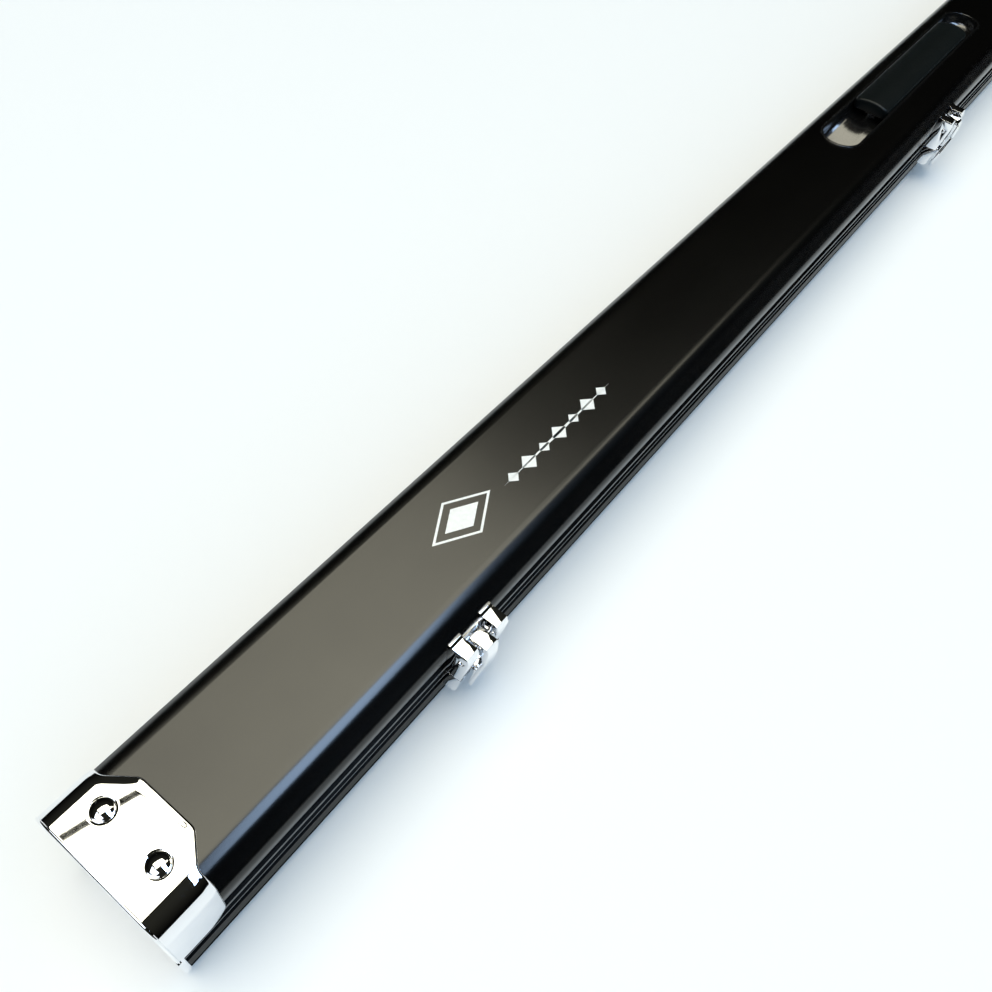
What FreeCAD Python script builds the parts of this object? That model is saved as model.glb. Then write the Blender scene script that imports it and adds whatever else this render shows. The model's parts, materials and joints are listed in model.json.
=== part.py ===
"""Full-length cue case: two aluminium extrusions hinged along the back, three sprung latches,
chromed end caps and a handle that lifts out of a recess in the lid.

Axes: X along the case, Y from the latches to the hinge, Z up. The origin is under the middle of
the whole case, on the surface that it lies on. All lengths are in millimetres.
"""

import FreeCAD
import Part
import Sketcher
import math
import os
from types import SimpleNamespace

DIMENSIONS = [
    # alias, millimetres, what it measures
    ("case_length", 1500, "over both end caps"),
    ("case_width", 66, "across the extrusions"),
    ("base_height", 29, "from the table to the seam"),
    ("lid_height", 37, "from the seam to the lid's top"),
    ("wall", 1.8, "wall of both extrusions"),
    ("shoulder", 10, "outside radius of the long corners"),
    ("seam_gap", 0.3, "between the closed lid and the base"),
    ("fine_groove_start", 3.2, "fine groove, nearest distance from the seam"),
    ("fine_groove_end", 3.9, "fine groove, furthest distance from the seam"),
    ("fine_groove_depth", 0.4, "depth of the fine groove"),
    ("rim_groove_start", 6.4, "rim groove, nearest distance from the seam"),
    ("rim_groove_end", 9.6, "rim groove, furthest distance from the seam"),
    ("rim_groove_depth", 0.7, "depth of the rim groove"),
    ("lip_clearance", 0.4, "between the base's lip and the lid's wall"),
    ("lip_thickness", 1.2, "lip that stands up inside the lid"),
    ("lip_rise", 2.4, "lip above the base's edge"),
    ("rim_depth", 4, "height of the thicker rim under the lip"),
    ("cap_wall", 1.5, "sheet of the lid's end caps"),
    ("cap_side", 24.5, "length of a lid cap on the case's sides"),
    ("cap_tongue", 33.3, "length of a lid cap on the lid's top"),
    ("cap_tongue_tip", 14.4, "half width of the tongue's tip"),
    ("cap_tongue_root", 25.8, "half width of the tongue's root"),
    ("cap_corner", 3.2, "corner cut off at the foot of a lid cap"),
    ("cap_play", 0.05, "between a cap and the extrusion"),
    ("plug_plate", 3.1, "thickness of a base cap's plate"),
    ("plug_proud", 0.8, "base cap's plate beyond the extrusion's sides"),
    ("plug_depth", 10, "how far the plug enters the base"),
    ("plug_wall", 3, "wall of the plug"),
    ("plug_play", 0.1, "between the plug and the base's wall"),
    ("plug_top", 24, "top of the plug, above the table"),
    ("cap_rivet_inset", 16.8, "cap rivets, from the case's end"),
    ("cap_rivet_offset", 14.7, "cap rivets, from the centre line"),
    ("cap_rivet_head", 4.7, "head radius of a cap rivet"),
    ("cap_rivet_dome", 1.9, "head height of a cap rivet"),
    ("cap_rivet_shank", 2.4, "shank radius of a cap rivet"),
    ("cap_dimple", 5.3, "radius of the dimple round a cap rivet"),
    ("cap_dimple_depth", 0.7, "depth of that dimple"),
    ("rivet_head", 2.2, "head radius of a small rivet"),
    ("rivet_dome", 1.1, "head height of a small rivet"),
    ("rivet_shank", 1.2, "shank radius of a small rivet"),
    ("rivet_tail", 0.8, "height of a rivet's upset end"),
    ("rivet_spread", 0.7, "upset end's radius beyond the shank"),
    ("rivet_play", 0.05, "radial play of a shank in its hole"),
    ("hinge_length", 1400, "length of the hinge"),
    ("knuckle_pitch", 50, "a knuckle of each leaf in turn"),
    ("knuckle_gap", 0.3, "between neighbouring knuckles"),
    ("leaf_thickness", 1.2, "sheet of the hinge leaves"),
    ("leaf_height", 12, "height of a leaf on the case"),
    ("leaf_clearance", 2.7, "from a leaf's edge to the seam"),
    ("hinge_out", 2.9, "hinge axis beyond the case's back"),
    ("barrel_radius", 2.6, "outside radius of the knuckles"),
    ("web_thickness", 1.6, "web from a leaf to its knuckle"),
    ("hinge_pin_radius", 1.1, "radius of the hinge pin"),
    ("hinge_pin_play", 0.05, "radial play of the hinge pin"),
    ("hinge_rivet_pitch", 100, "between the hinge rivets"),
    ("hinge_rivet_drop", 9, "hinge rivets, from the seam"),
    ("latch_pitch", 583, "between neighbouring latches"),
    ("latch_width", 28.4, "bracket and catch, along the case"),
    ("notch_width", 13.4, "notch that the lever hangs in"),
    ("latch_plate", 1.3, "sheet of bracket and catch"),
    ("bracket_top", 12.5, "top of the bracket, below the lid's top"),
    ("bracket_dip", 19, "top of the back plate in the notch, below the lid's top"),
    ("roof_depth", 13.4, "top of the cheeks, below the lid's top"),
    ("roof_reach", 10.6, "flat of the cheeks, out from the side"),
    ("cheek_reach", 11.9, "widest part of the cheeks, out from the side"),
    ("cheek_depth", 17, "where the cheeks are widest, below the lid's top"),
    ("split_depth", 37, "between bracket and catch, below the lid's top"),
    ("split_half_gap", 0.2, "half the gap between bracket and catch"),
    ("split_reach", 9, "bracket and catch where they meet"),
    ("foot_reach", 7, "foot of the catch, out from the side"),
    ("foot_depth", 51, "foot of the catch, below the lid's top"),
    ("keeper_reach", 5, "keeper bar, out from the side"),
    ("keeper_start", 38, "keeper bar's top, below the lid's top"),
    ("keeper_end", 40.6, "keeper bar's underside, below the lid's top"),
    ("latch_rivet_offset", 3.2, "latch rivets, from the latch's middle"),
    ("bracket_rivet_depth", 29.5, "bracket rivets, below the lid's top"),
    ("catch_rivet_depth", 46.8, "catch rivets, below the lid's top"),
    ("pin_reach", 7.5, "latch pin, out from the side"),
    ("pin_depth", 21, "latch pin, below the lid's top"),
    ("pin_radius", 1.25, "radius of a latch pin"),
    ("pin_play", 0.06, "radial play of the lever on its pin"),
    ("pin_fit", 0.02, "radial play of the pin in the bracket"),
    ("pin_overhang", 0.8, "latch pin beyond each cheek"),
    ("lever_neck", 7.4, "width of the lever in the notch"),
    ("lever_tongue", 15, "width of the lever's tongue"),
    ("lever_barrel", 3.3, "radius of the lever round its pin"),
    ("lever_crest_depth", 16.4, "top of the lever, below the lid's top"),
    ("lever_crest_reach", 13.2, "top of the lever, out from the side"),
    ("lever_brow_depth", 18.4, "brow of the lever, below the lid's top"),
    ("lever_brow_reach", 14.6, "brow of the lever, out from the side"),
    ("lever_waist_depth", 26, "widest part of the lever, below the lid's top"),
    ("latch_reach", 15, "widest part of the lever, out from the side"),
    ("lever_end_depth", 55.7, "end of the tongue, below the lid's top"),
    ("lever_end_reach", 10, "end of the tongue, out from the side"),
    ("lever_sheet", 2.4, "thickness of the tongue"),
    ("lever_neck_depth", 30, "where the neck ends, below the lid's top"),
    ("lever_flare_depth", 39, "where the tongue is at full width"),
    ("hook_start", 41, "hook's top, below the lid's top"),
    ("hook_end", 45, "hook's underside, below the lid's top"),
    ("hook_reach", 5.4, "tip of the hook, out from the side"),
    ("hook_width", 8, "width of the hook"),
    ("spring_slot", 4.6, "slot for the spring in the lever's barrel"),
    ("spring_slot_radius", 4.1, "radius of that slot"),
    ("spring_radius", 2.1, "middle radius of the spring's coil"),
    ("spring_wire", 0.35, "radius of the spring's wire"),
    ("spring_rise", 1.05, "pitch of the spring's coil"),
    ("spring_turns", 3.25, "turns of the spring"),
    ("spring_arm", 5.2, "arm towards the bracket's plate"),
    ("spring_leg", 5.5, "leg along the back of the lever"),
    ("handle_offset", 6, "handle's centre line behind the case's"),
    ("slot_half_length", 133.5, "slot in the lid for the handle tray"),
    ("slot_radius", 14.5, "ends of that slot"),
    ("tray_play", 0.1, "between the tray and its slot"),
    ("tray_sheet", 1, "sheet of the tray"),
    ("tray_depth", 9, "from the lid's top to the tray's floor"),
    ("tray_rim", 0.7, "height of the tray's rim on the lid"),
    ("tray_rim_width", 0.7, "rim beyond the slot"),
    ("tray_round", 4, "inside radius at the tray's floor"),
    ("grip_half_length", 83.5, "half the grip"),
    ("grip_half_width", 13.1, "half the grip's width"),
    ("grip_underside", 4, "grip's underside, below the lid's top"),
    ("grip_edge", 2.4, "grip's long edges, above the lid's top"),
    ("grip_crown", 2.6, "crown above the grip's long edges"),
    ("grip_corner", 4, "radius of the grip's corners, from above"),
    ("grip_boss", 5, "radius of the bosses round the legs"),
    ("grip_boss_clearance", 0.3, "from a boss to its bush"),
    ("leg_offset", 68, "legs, from the handle's middle"),
    ("handle_shift", 13.5, "handle's middle, from the case's middle"),
    ("leg_radius", 3, "radius of the handle's legs"),
    ("leg_seat", 4, "leg inside the grip"),
    ("leg_play", 0.02, "radial play of leg and clip"),
    ("bush_play", 0.05, "radial play of a leg in its bush"),
    ("bush_radius", 4.5, "outside radius of a bush"),
    ("bush_flange", 6, "radius of a bush's flange"),
    ("bush_flange_height", 1, "height of a bush's flange"),
    ("bush_tail", 1, "bush below the tray"),
    ("handle_travel", 20, "lift of the handle"),
    ("clip_clearance", 0.3, "between clip and bush with the handle up"),
    ("clip_height", 1.2, "thickness of a stop clip"),
    ("clip_radius", 5.6, "outside radius of a stop clip"),
    ("leg_overhang", 0.8, "leg below its clip"),
    ("liner_gap", 1.2, "between the lid's liner and the lid"),
    ("liner_end", 6, "from the lid's liner to the end caps"),
    ("liner_skirt", 3, "liner on the lid's sides"),
    ("liner_roof", 5, "liner under the lid's top"),
    ("liner_round", 7, "outside radius of both liners"),
    ("liner_bottom", 32, "lower edge of the lid's liner, above the table"),
    ("liner_window_half_length", 137, "opening in the liner for the handle"),
    ("liner_window_half_width", 17, "opening in the liner for the handle"),
    ("cushion_half_width", 29.3, "half the base liner's width"),
    ("cushion_bottom", 2.1, "base liner's underside, above the table"),
    ("cushion_top", 27.5, "base liner's top, above the table"),
    ("cushion_end", 0.3, "from the base liner to the plug"),
    ("channel_end", 10, "foam left at each end of the channels"),
    ("cue_channel_radius", 15.5, "radius of the cue's channel"),
    ("cue_channel_offset", 9, "cue's channel in front of the centre line"),
    ("cue_channel_floor", 4, "floor of the cue's channel, above the table"),
    ("spare_channel_radius", 8.5, "radius of the extension's channel"),
    ("spare_channel_offset", 18.5, "extension's channel behind the centre line"),
    ("spare_channel_floor", 10.5, "floor of the extension's channel, above the table"),
]

SIDES = ("left", "right")
STATIONS = (("left", -1), ("middle", 0), ("right", 1))

doc = FreeCAD.newDocument("CueCase")
doc.UndoMode = 0


class Size:
    """A length that knows its value and the sheet formula that it follows."""

    def __init__(self, value, formula):
        self.value = float(value)
        self.formula = formula

    def joined(self, other, sign, value):
        return Size(value, f"({self.formula} {sign} {other.formula})")

    def __add__(self, other):
        other = sized(other)
        return self.joined(other, "+", self.value + other.value)

    def __radd__(self, other):
        return sized(other) + self

    def __sub__(self, other):
        other = sized(other)
        return self.joined(other, "-", self.value - other.value)

    def __rsub__(self, other):
        return sized(other) - self

    def __mul__(self, other):
        other = sized(other)
        return self.joined(other, "*", self.value * other.value)

    def __rmul__(self, other):
        return sized(other) * self

    def __truediv__(self, other):
        other = sized(other)
        return self.joined(other, "/", self.value / other.value)

    def __neg__(self):
        return 0 - self


def sized(thing):
    """Give a plain number the same form as a length from the sheet."""
    if isinstance(thing, Size):
        return thing
    return Size(thing, f"{float(thing):g}")


def fill_sheet():
    """Write the driving dimensions to the spreadsheet and hand them back by name."""
    sheet = doc.addObject("Spreadsheet::Sheet", "Sizes")
    named = SimpleNamespace()
    for row, (alias, value, meaning) in enumerate(DIMENSIONS, start=1):
        sheet.set(f"A{row}", meaning)
        sheet.set(f"B{row}", str(value))
        sheet.setAlias(f"B{row}", alias)
        setattr(named, alias, Size(value, f"Sizes.{alias}"))
    doc.recompute()
    return named


size = fill_sheet()
half_length = size.case_length / 2
half_width = size.case_width / 2
lid_top = size.base_height + size.lid_height
base_edge = size.base_height - size.seam_gap / 2
lid_edge = size.base_height + size.seam_gap / 2
hinge_reach = size.hinge_out + size.barrel_radius
centre_y = (size.latch_reach - hinge_reach) / 2
tray_floor = lid_top - size.tray_depth
bush_bottom = tray_floor - size.tray_sheet - size.bush_tail
clip_top = bush_bottom - size.clip_clearance - size.handle_travel
grip_bottom = lid_top - size.grip_underside
base_length = size.case_length - 2 * size.plug_plate
lid_length = size.case_length - 2 * size.cap_wall


# ---------------------------------------------------------------- document helpers

def bind(thing, name, value):
    """Set one property of a feature from the sheet."""
    thing.setExpression(name, sized(value).formula)


def place(thing, x=0, y=0, z=0, turned=False):
    """Put a sub-part in the case's frame, turned end for end about Z where asked."""
    if turned:
        thing.Placement = FreeCAD.Placement(FreeCAD.Vector(), FreeCAD.Rotation(180, 0, 0))
    bind(thing, "Placement.Base.x", x)
    bind(thing, "Placement.Base.y", centre_y + y)
    bind(thing, "Placement.Base.z", z)


def new_body(label, x=0, turned=False):
    body = doc.addObject("PartDesign::Body", label)
    body.Label = label
    place(body, x=x, turned=turned)
    return body


def origin_feature(body, role):
    return next(item for item in body.Origin.OriginFeatures if item.Role == role)


def new_sketch(body, name, plane, lift=0, across=0):
    """A sketch on one of the body's own planes, moved along its normal and its first axis."""
    sketch = body.newObject("Sketcher::SketchObject", f"{body.Name}_{name}")
    sketch.AttachmentSupport = [(origin_feature(body, plane), "")]
    sketch.MapMode = "FlatFace"
    bind(sketch, "AttachmentOffset.Base.z", lift)
    bind(sketch, "AttachmentOffset.Base.x", across)
    return sketch


def pin_down(sketch, geometry, end, point):
    """Fix one end of an edge, or a circle's centre, at a place given by two lengths."""
    for kind, value in (("DistanceX", point[0]), ("DistanceY", point[1])):
        value = sized(value)
        constraint = Sketcher.Constraint(kind, -1, 1, geometry, end, value.value)
        index = sketch.addConstraint(constraint)
        sketch.setExpression(f"Constraints[{index}]", value.formula)


def arc_between(start, end, bend):
    """The short arc from start to end; a positive bend turns left, a negative one right."""
    chord = end - start
    radius = abs(bend)
    reach = math.sqrt(max(radius ** 2 - (chord.Length / 2) ** 2, 0))
    left = FreeCAD.Vector(-chord.y, chord.x, 0).normalize()
    centre = (start + end) / 2 + left * (reach if bend > 0 else -reach)
    first = math.atan2(start.y - centre.y, start.x - centre.x)
    last = math.atan2(end.y - centre.y, end.x - centre.x)
    circle = Part.Circle(centre, FreeCAD.Vector(0, 0, 1), radius)
    if bend > 0:
        return Part.ArcOfCircle(circle, first, last)
    return Part.ArcOfCircle(circle, last, first)


def outline(sketch, corners):
    """Draw a closed outline. A corner is (across, up) or (across, up, bend), where bend is the
    signed radius of the arc that leads to the next corner."""
    edges = []
    for index, corner in enumerate(corners):
        following = corners[(index + 1) % len(corners)]
        start = FreeCAD.Vector(sized(corner[0]).value, sized(corner[1]).value, 0)
        end = FreeCAD.Vector(sized(following[0]).value, sized(following[1]).value, 0)
        if len(corner) == 2:
            edges.append((sketch.addGeometry(Part.LineSegment(start, end)), 1, 2))
            continue
        bend = sized(corner[2])
        arc = sketch.addGeometry(arc_between(start, end, bend.value))
        edges.append((arc, 1, 2) if bend.value > 0 else (arc, 2, 1))
        radius = bend if bend.value > 0 else -bend
        index_r = sketch.addConstraint(Sketcher.Constraint("Radius", arc, radius.value))
        sketch.setExpression(f"Constraints[{index_r}]", radius.formula)
    for index, (edge, start_end, _) in enumerate(edges):
        before = edges[index - 1]
        sketch.addConstraint(
            Sketcher.Constraint("Coincident", before[0], before[2], edge, start_end))
        pin_down(sketch, edge, start_end, corners[index][:2])


def circle(sketch, across, up, radius):
    radius = sized(radius)
    centre = FreeCAD.Vector(sized(across).value, sized(up).value, 0)
    edge = sketch.addGeometry(Part.Circle(centre, FreeCAD.Vector(0, 0, 1), radius.value))
    pin_down(sketch, edge, 3, (across, up))
    index = sketch.addConstraint(Sketcher.Constraint("Radius", edge, radius.value))
    sketch.setExpression(f"Constraints[{index}]", radius.formula)


def extrude(kind, body, sketch, length, both_ways, backwards):
    feature = body.newObject(f"PartDesign::{kind}", f"{sketch.Name}_{kind}")
    feature.Profile = sketch
    if length is None:
        feature.Type = "ThroughAll"
    else:
        bind(feature, "Length", length)
    if both_ways:
        feature.SideType = "Symmetric"
    feature.Reversed = backwards
    return feature


def pad(body, sketch, length, both_ways=False, backwards=False):
    return extrude("Pad", body, sketch, length, both_ways, backwards)


def pocket(body, sketch, length=None, both_ways=False, backwards=False):
    return extrude("Pocket", body, sketch, length, both_ways, backwards)


def revolve(body, sketch):
    """Turn a profile once round the sketch's own upright axis."""
    feature = body.newObject("PartDesign::Revolution", f"{sketch.Name}_Turn")
    feature.Profile = sketch
    feature.ReferenceAxis = (sketch, ["V_Axis"])
    feature.Angle = 360
    return feature


def repeat(body, originals, span, count):
    """Repeat features along the case; span runs from the first to the last."""
    pattern = body.newObject("PartDesign::LinearPattern", f"{originals[0].Name}_Row")
    pattern.Originals = originals
    pattern.Direction = (origin_feature(body, "X_Axis"), [""])
    bind(pattern, "Length", span)
    pattern.Occurrences = count
    body.Tip = pattern
    return pattern


def round_edges(body, name, radius, chosen):
    """Fillet the edges of the body's present shape that the test picks."""
    doc.recompute()
    base = body.Tip
    names = [f"Edge{index}" for index, edge in enumerate(base.Shape.Edges, start=1) if chosen(edge)]
    fillet = body.newObject("PartDesign::Fillet", f"{body.Name}_{name}")
    fillet.Base = (base, names)
    bind(fillet, "Radius", radius)
    return fillet


def lies_at(level):
    """A test for edges that lie flat at one height."""
    def test(edge):
        box = edge.BoundBox
        return abs(box.ZMin - level.value) < 0.01 and abs(box.ZMax - level.value) < 0.01
    return test


# ---------------------------------------------------------------- shared outlines

def arch(half, bottom, top, radius):
    """A closed outline with upright sides and two rounded upper corners."""
    return [
        (-half, bottom),
        (-half, top - radius, -radius),
        (radius - half, top),
        (half - radius, top, -radius),
        (half, top - radius),
        (half, bottom),
    ]


def bowl(half, bottom, top, radius):
    """The same outline upside down, with its rounded corners below."""
    return [
        (-half, top),
        (-half, bottom + radius, radius),
        (radius - half, bottom),
        (half - radius, bottom, radius),
        (half, bottom + radius),
        (half, top),
    ]


def stadium(middle_y, half, radius):
    """A slot's outline with round ends, centred on x = 0."""
    return [
        (radius - half, middle_y - radius),
        (half - radius, middle_y - radius, radius),
        (half, middle_y, radius),
        (half - radius, middle_y + radius),
        (radius - half, middle_y + radius, radius),
        (-half, middle_y, radius),
    ]


def box_outline(left, bottom, right, top):
    return [(left, bottom), (right, bottom), (right, top), (left, top)]


def grooved_side(sign):
    """One outer side from the seam towards the shoulder; sign is +1 upwards, -1 downwards."""
    points = []
    grooves = (
        (size.fine_groove_start, size.fine_groove_end, size.fine_groove_depth),
        (size.rim_groove_start, size.rim_groove_end, size.rim_groove_depth),
    )
    for near, far, depth in grooves:
        low = size.base_height + sign * near
        high = size.base_height + sign * far
        inner = half_width - depth
        points += [(half_width, low), (inner, low), (inner, high), (half_width, high)]
    return points


def mirrored(points):
    """The points on the other side of the centre line, in the opposite order."""
    return [(-across, up) for across, up in reversed(points)]


def on_side(reach, depth):
    """A place on the latch side: out from the case's front, and down from the lid's top."""
    return (-half_width - reach, lid_top - depth)


# ---------------------------------------------------------------- the two extrusions

def drill_side(body, name, front, spots, radius):
    """Drill holes through the front or the back wall at (x, z) spots."""
    clear = size.hinge_out
    lift = half_width + clear if front else -half_width - clear
    sketch = new_sketch(body, name, "XZ_Plane", lift=lift)
    for across, up in spots:
        circle(sketch, across, up, radius)
    pocket(body, sketch, clear + size.wall * 2, backwards=not front)


def drill_top(body, name, spots, radius, depth, top):
    sketch = new_sketch(body, name, "XY_Plane", lift=top)
    for across, up in spots:
        circle(sketch, across, up, radius)
    pocket(body, sketch, depth)


def hinge_rivet_places():
    count = round(size.hinge_length.value / size.hinge_rivet_pitch.value)
    first = (size.hinge_rivet_pitch - size.hinge_length) / 2
    return [first + index * size.hinge_rivet_pitch for index in range(count)]


def latch_rivet_spots(depth):
    return [
        (station * size.latch_pitch + side * size.latch_rivet_offset, lid_top - depth)
        for _, station in STATIONS
        for side in (-1, 1)
    ]


def cap_rivet_spots():
    inset = half_length - size.cap_rivet_inset
    return [(end * inset, side * size.cap_rivet_offset) for end in (-1, 1) for side in (-1, 1)]


def make_base_shell():
    """Lower extrusion: grooved sides, rounded bottom corners, a thicker rim and a guide lip."""
    body = new_body("base_shell")
    inner = half_width - size.wall
    lip_out = inner - size.lip_clearance
    lip_in = lip_out - size.lip_thickness
    rim_foot = base_edge - size.rim_depth
    radius = size.shoulder
    inner_radius = radius - size.wall
    rim = [
        (lip_out, base_edge),
        (lip_out, base_edge + size.lip_rise),
        (lip_in, base_edge + size.lip_rise),
        (lip_in, rim_foot),
        (inner, rim_foot),
    ]
    side = [(half_width, base_edge)] + grooved_side(-1)
    corners = side + [(half_width, radius, -radius), (half_width - radius, sized(0))]
    corners += [(radius - half_width, sized(0), -radius), (-half_width, radius)]
    corners += mirrored(rim[::-1] + side)
    corners += [(-inner, radius, inner_radius), (radius - half_width, size.wall)]
    corners += [(half_width - radius, size.wall, inner_radius), (inner, radius)]
    corners += rim[::-1]
    sketch = new_sketch(body, "section", "YZ_Plane")
    outline(sketch, corners)
    pad(body, sketch, base_length, both_ways=True)
    hole = size.rivet_shank + size.rivet_play
    drill_side(body, "catch_holes", True, latch_rivet_spots(size.catch_rivet_depth), hole)
    level = size.base_height - size.hinge_rivet_drop
    spots = [(across, level) for across in hinge_rivet_places()]
    drill_side(body, "hinge_holes", False, spots, hole)
    return body


def make_lid_shell():
    """Upper extrusion: flat top with rounded shoulders, grooved sides and the handle's slot."""
    body = new_body("lid_shell")
    inner = half_width - size.wall
    radius = size.shoulder
    inner_radius = radius - size.wall
    spring_line = lid_top - radius
    side = [(half_width, lid_edge)] + grooved_side(1)
    corners = side + [(half_width, spring_line, radius), (half_width - radius, lid_top)]
    corners += [(radius - half_width, lid_top, radius), (-half_width, spring_line)]
    corners += mirrored(side)
    corners += [(-inner, lid_edge), (-inner, spring_line, -inner_radius)]
    corners += [(radius - half_width, lid_top - size.wall)]
    corners += [(half_width - radius, lid_top - size.wall, -inner_radius), (inner, spring_line)]
    corners += [(inner, lid_edge)]
    sketch = new_sketch(body, "section", "YZ_Plane")
    outline(sketch, corners)
    pad(body, sketch, lid_length, both_ways=True)
    slot = new_sketch(body, "handle_slot", "XY_Plane", lift=lid_top)
    outline(slot, stadium(size.handle_offset, size.slot_half_length, size.slot_radius))
    pocket(body, slot, size.wall * 2)
    hole = size.rivet_shank + size.rivet_play
    drill_side(body, "bracket_holes", True, latch_rivet_spots(size.bracket_rivet_depth), hole)
    level = size.base_height + size.hinge_rivet_drop
    spots = [(across, level) for across in hinge_rivet_places()]
    drill_side(body, "hinge_holes", False, spots, hole)
    cap_hole = size.cap_rivet_shank + size.rivet_play
    drill_top(body, "cap_holes", cap_rivet_spots(), cap_hole, size.wall * 2, lid_top)
    return body


# ---------------------------------------------------------------- end caps

def make_lid_cap(side):
    """Sheet cap over one end of the lid, with a tapered tongue on the lid's top."""
    body = new_body(f"lid_end_cap_{side}", turned=side == "right")
    top = lid_top + size.cap_wall
    foot = lid_edge + size.seam_gap / 2
    blank = new_sketch(body, "blank", "YZ_Plane", lift=-half_length)
    outline(blank, arch(half_width + size.cap_wall, foot, top, size.shoulder + size.cap_wall))
    pad(body, blank, size.cap_tongue)
    inside = new_sketch(body, "inside", "YZ_Plane", lift=size.cap_wall - half_length)
    play = size.cap_play
    outline(inside, arch(half_width + play, size.base_height - size.wall, lid_top + play,
                         size.shoulder + play))
    pocket(body, inside, size.cap_tongue, backwards=True)
    plan = new_sketch(body, "tongue", "XY_Plane")
    root = size.cap_side - half_length
    tip = size.cap_tongue - half_length
    for sign in (-1, 1):
        outline(plan, [
            (root, sign * size.case_width),
            (root, sign * size.cap_tongue_root),
            (tip, sign * size.cap_tongue_tip),
            (tip + size.cap_wall, sign * size.cap_tongue_tip),
            (tip + size.cap_wall, sign * size.case_width),
        ])
    pocket(body, plan, both_ways=True)
    corner = new_sketch(body, "corner", "XZ_Plane")
    outline(corner, [
        (root - size.cap_corner, foot - size.seam_gap),
        (root + size.seam_gap, foot - size.seam_gap),
        (root + size.seam_gap, foot + size.cap_corner),
        (root, foot + size.cap_corner),
        (root - size.cap_corner, foot),
    ])
    pocket(body, corner, both_ways=True)
    near = [(size.cap_rivet_inset - half_length, sign * size.cap_rivet_offset) for sign in (-1, 1)]
    drill_top(body, "dimples", near, size.cap_dimple, size.cap_dimple_depth, top)
    hole = size.cap_rivet_shank + size.rivet_play
    drill_top(body, "holes", near, hole, size.cap_wall * 2, top)
    return body


def make_base_cap(side):
    """Cast cap: a plate that closes the base's end, and a plug that grips inside it."""
    body = new_body(f"base_end_cap_{side}", turned=side == "right")
    plate = new_sketch(body, "plate", "YZ_Plane", lift=-half_length)
    proud = size.plug_proud
    outline(plate, bowl(half_width + proud, sized(0), base_edge, size.shoulder + proud))
    pad(body, plate, size.plug_plate)
    plug = new_sketch(body, "plug", "YZ_Plane", lift=size.plug_plate - half_length)
    outer = half_width - size.wall - size.plug_play
    floor = size.wall + size.plug_play
    radius = size.shoulder - size.wall
    outline(plug, bowl(outer, floor, size.plug_top, radius))
    inner = size.plug_wall
    outline(plug, bowl(outer - inner, floor + inner, size.plug_top - inner, radius - inner))
    pad(body, plug, size.plug_depth)
    return body


# ---------------------------------------------------------------- rivets

def rivet_profile(sign, face, grip, head, dome, shank):
    """Half section of a set rivet along its axis; sign is +1 where its head faces forwards."""
    ball = (head * head + dome * dome) / (2 * dome)
    tail = face - sign * grip
    end = tail - sign * size.rivet_tail
    wide = shank + size.rivet_spread
    return [
        (sized(0), face + sign * dome, -sign * ball),
        (head, face),
        (shank, face),
        (shank, tail),
        (wide, tail),
        (wide, end),
        (sized(0), end),
    ]


def make_cap_rivets():
    """Four domed rivets, two in each lid cap, seated in dimples."""
    body = new_body("cap_rivets")
    face = lid_top + size.cap_wall - size.cap_dimple_depth
    grip = face - lid_top + size.wall
    profile = rivet_profile(1, face, grip, size.cap_rivet_head, size.cap_rivet_dome,
                            size.cap_rivet_shank)
    rivets = []
    for name, sign in (("front", 1), ("back", -1)):
        sketch = new_sketch(body, name, "XZ_Plane", lift=sign * size.cap_rivet_offset,
                            across=size.cap_rivet_inset - half_length)
        outline(sketch, profile)
        rivets.append(revolve(body, sketch))
    repeat(body, rivets, size.case_length - 2 * size.cap_rivet_inset, 2)
    return body


def make_side_rivets(label, front, level, plate, offsets, first, span, count):
    """A row of small rivets through the front or the back wall, at one height."""
    body = new_body(label)
    sign = -1 if front else 1
    face = sign * (half_width + plate)
    profile = rivet_profile(sign, face, plate + size.wall, size.rivet_head, size.rivet_dome,
                            size.rivet_shank)
    rivets = []
    for index, offset in enumerate(offsets):
        sketch = new_sketch(body, f"rivet{index}", "XY_Plane", lift=level, across=first + offset)
        outline(sketch, profile)
        rivets.append(revolve(body, sketch))
    repeat(body, rivets, span, count)
    return body


def make_latch_rivets(label, depth):
    offsets = (-size.latch_rivet_offset, size.latch_rivet_offset)
    span = 2 * size.latch_pitch
    return make_side_rivets(label, True, lid_top - depth, size.latch_plate, offsets,
                            -size.latch_pitch, span, len(STATIONS))


def make_hinge_rivets(label, sign):
    places = hinge_rivet_places()
    level = size.base_height + sign * size.hinge_rivet_drop
    span = size.hinge_length - size.hinge_rivet_pitch
    return make_side_rivets(label, False, level, size.leaf_thickness, (sized(0),),
                            places[0], span, len(places))


# ---------------------------------------------------------------- hinge

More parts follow.
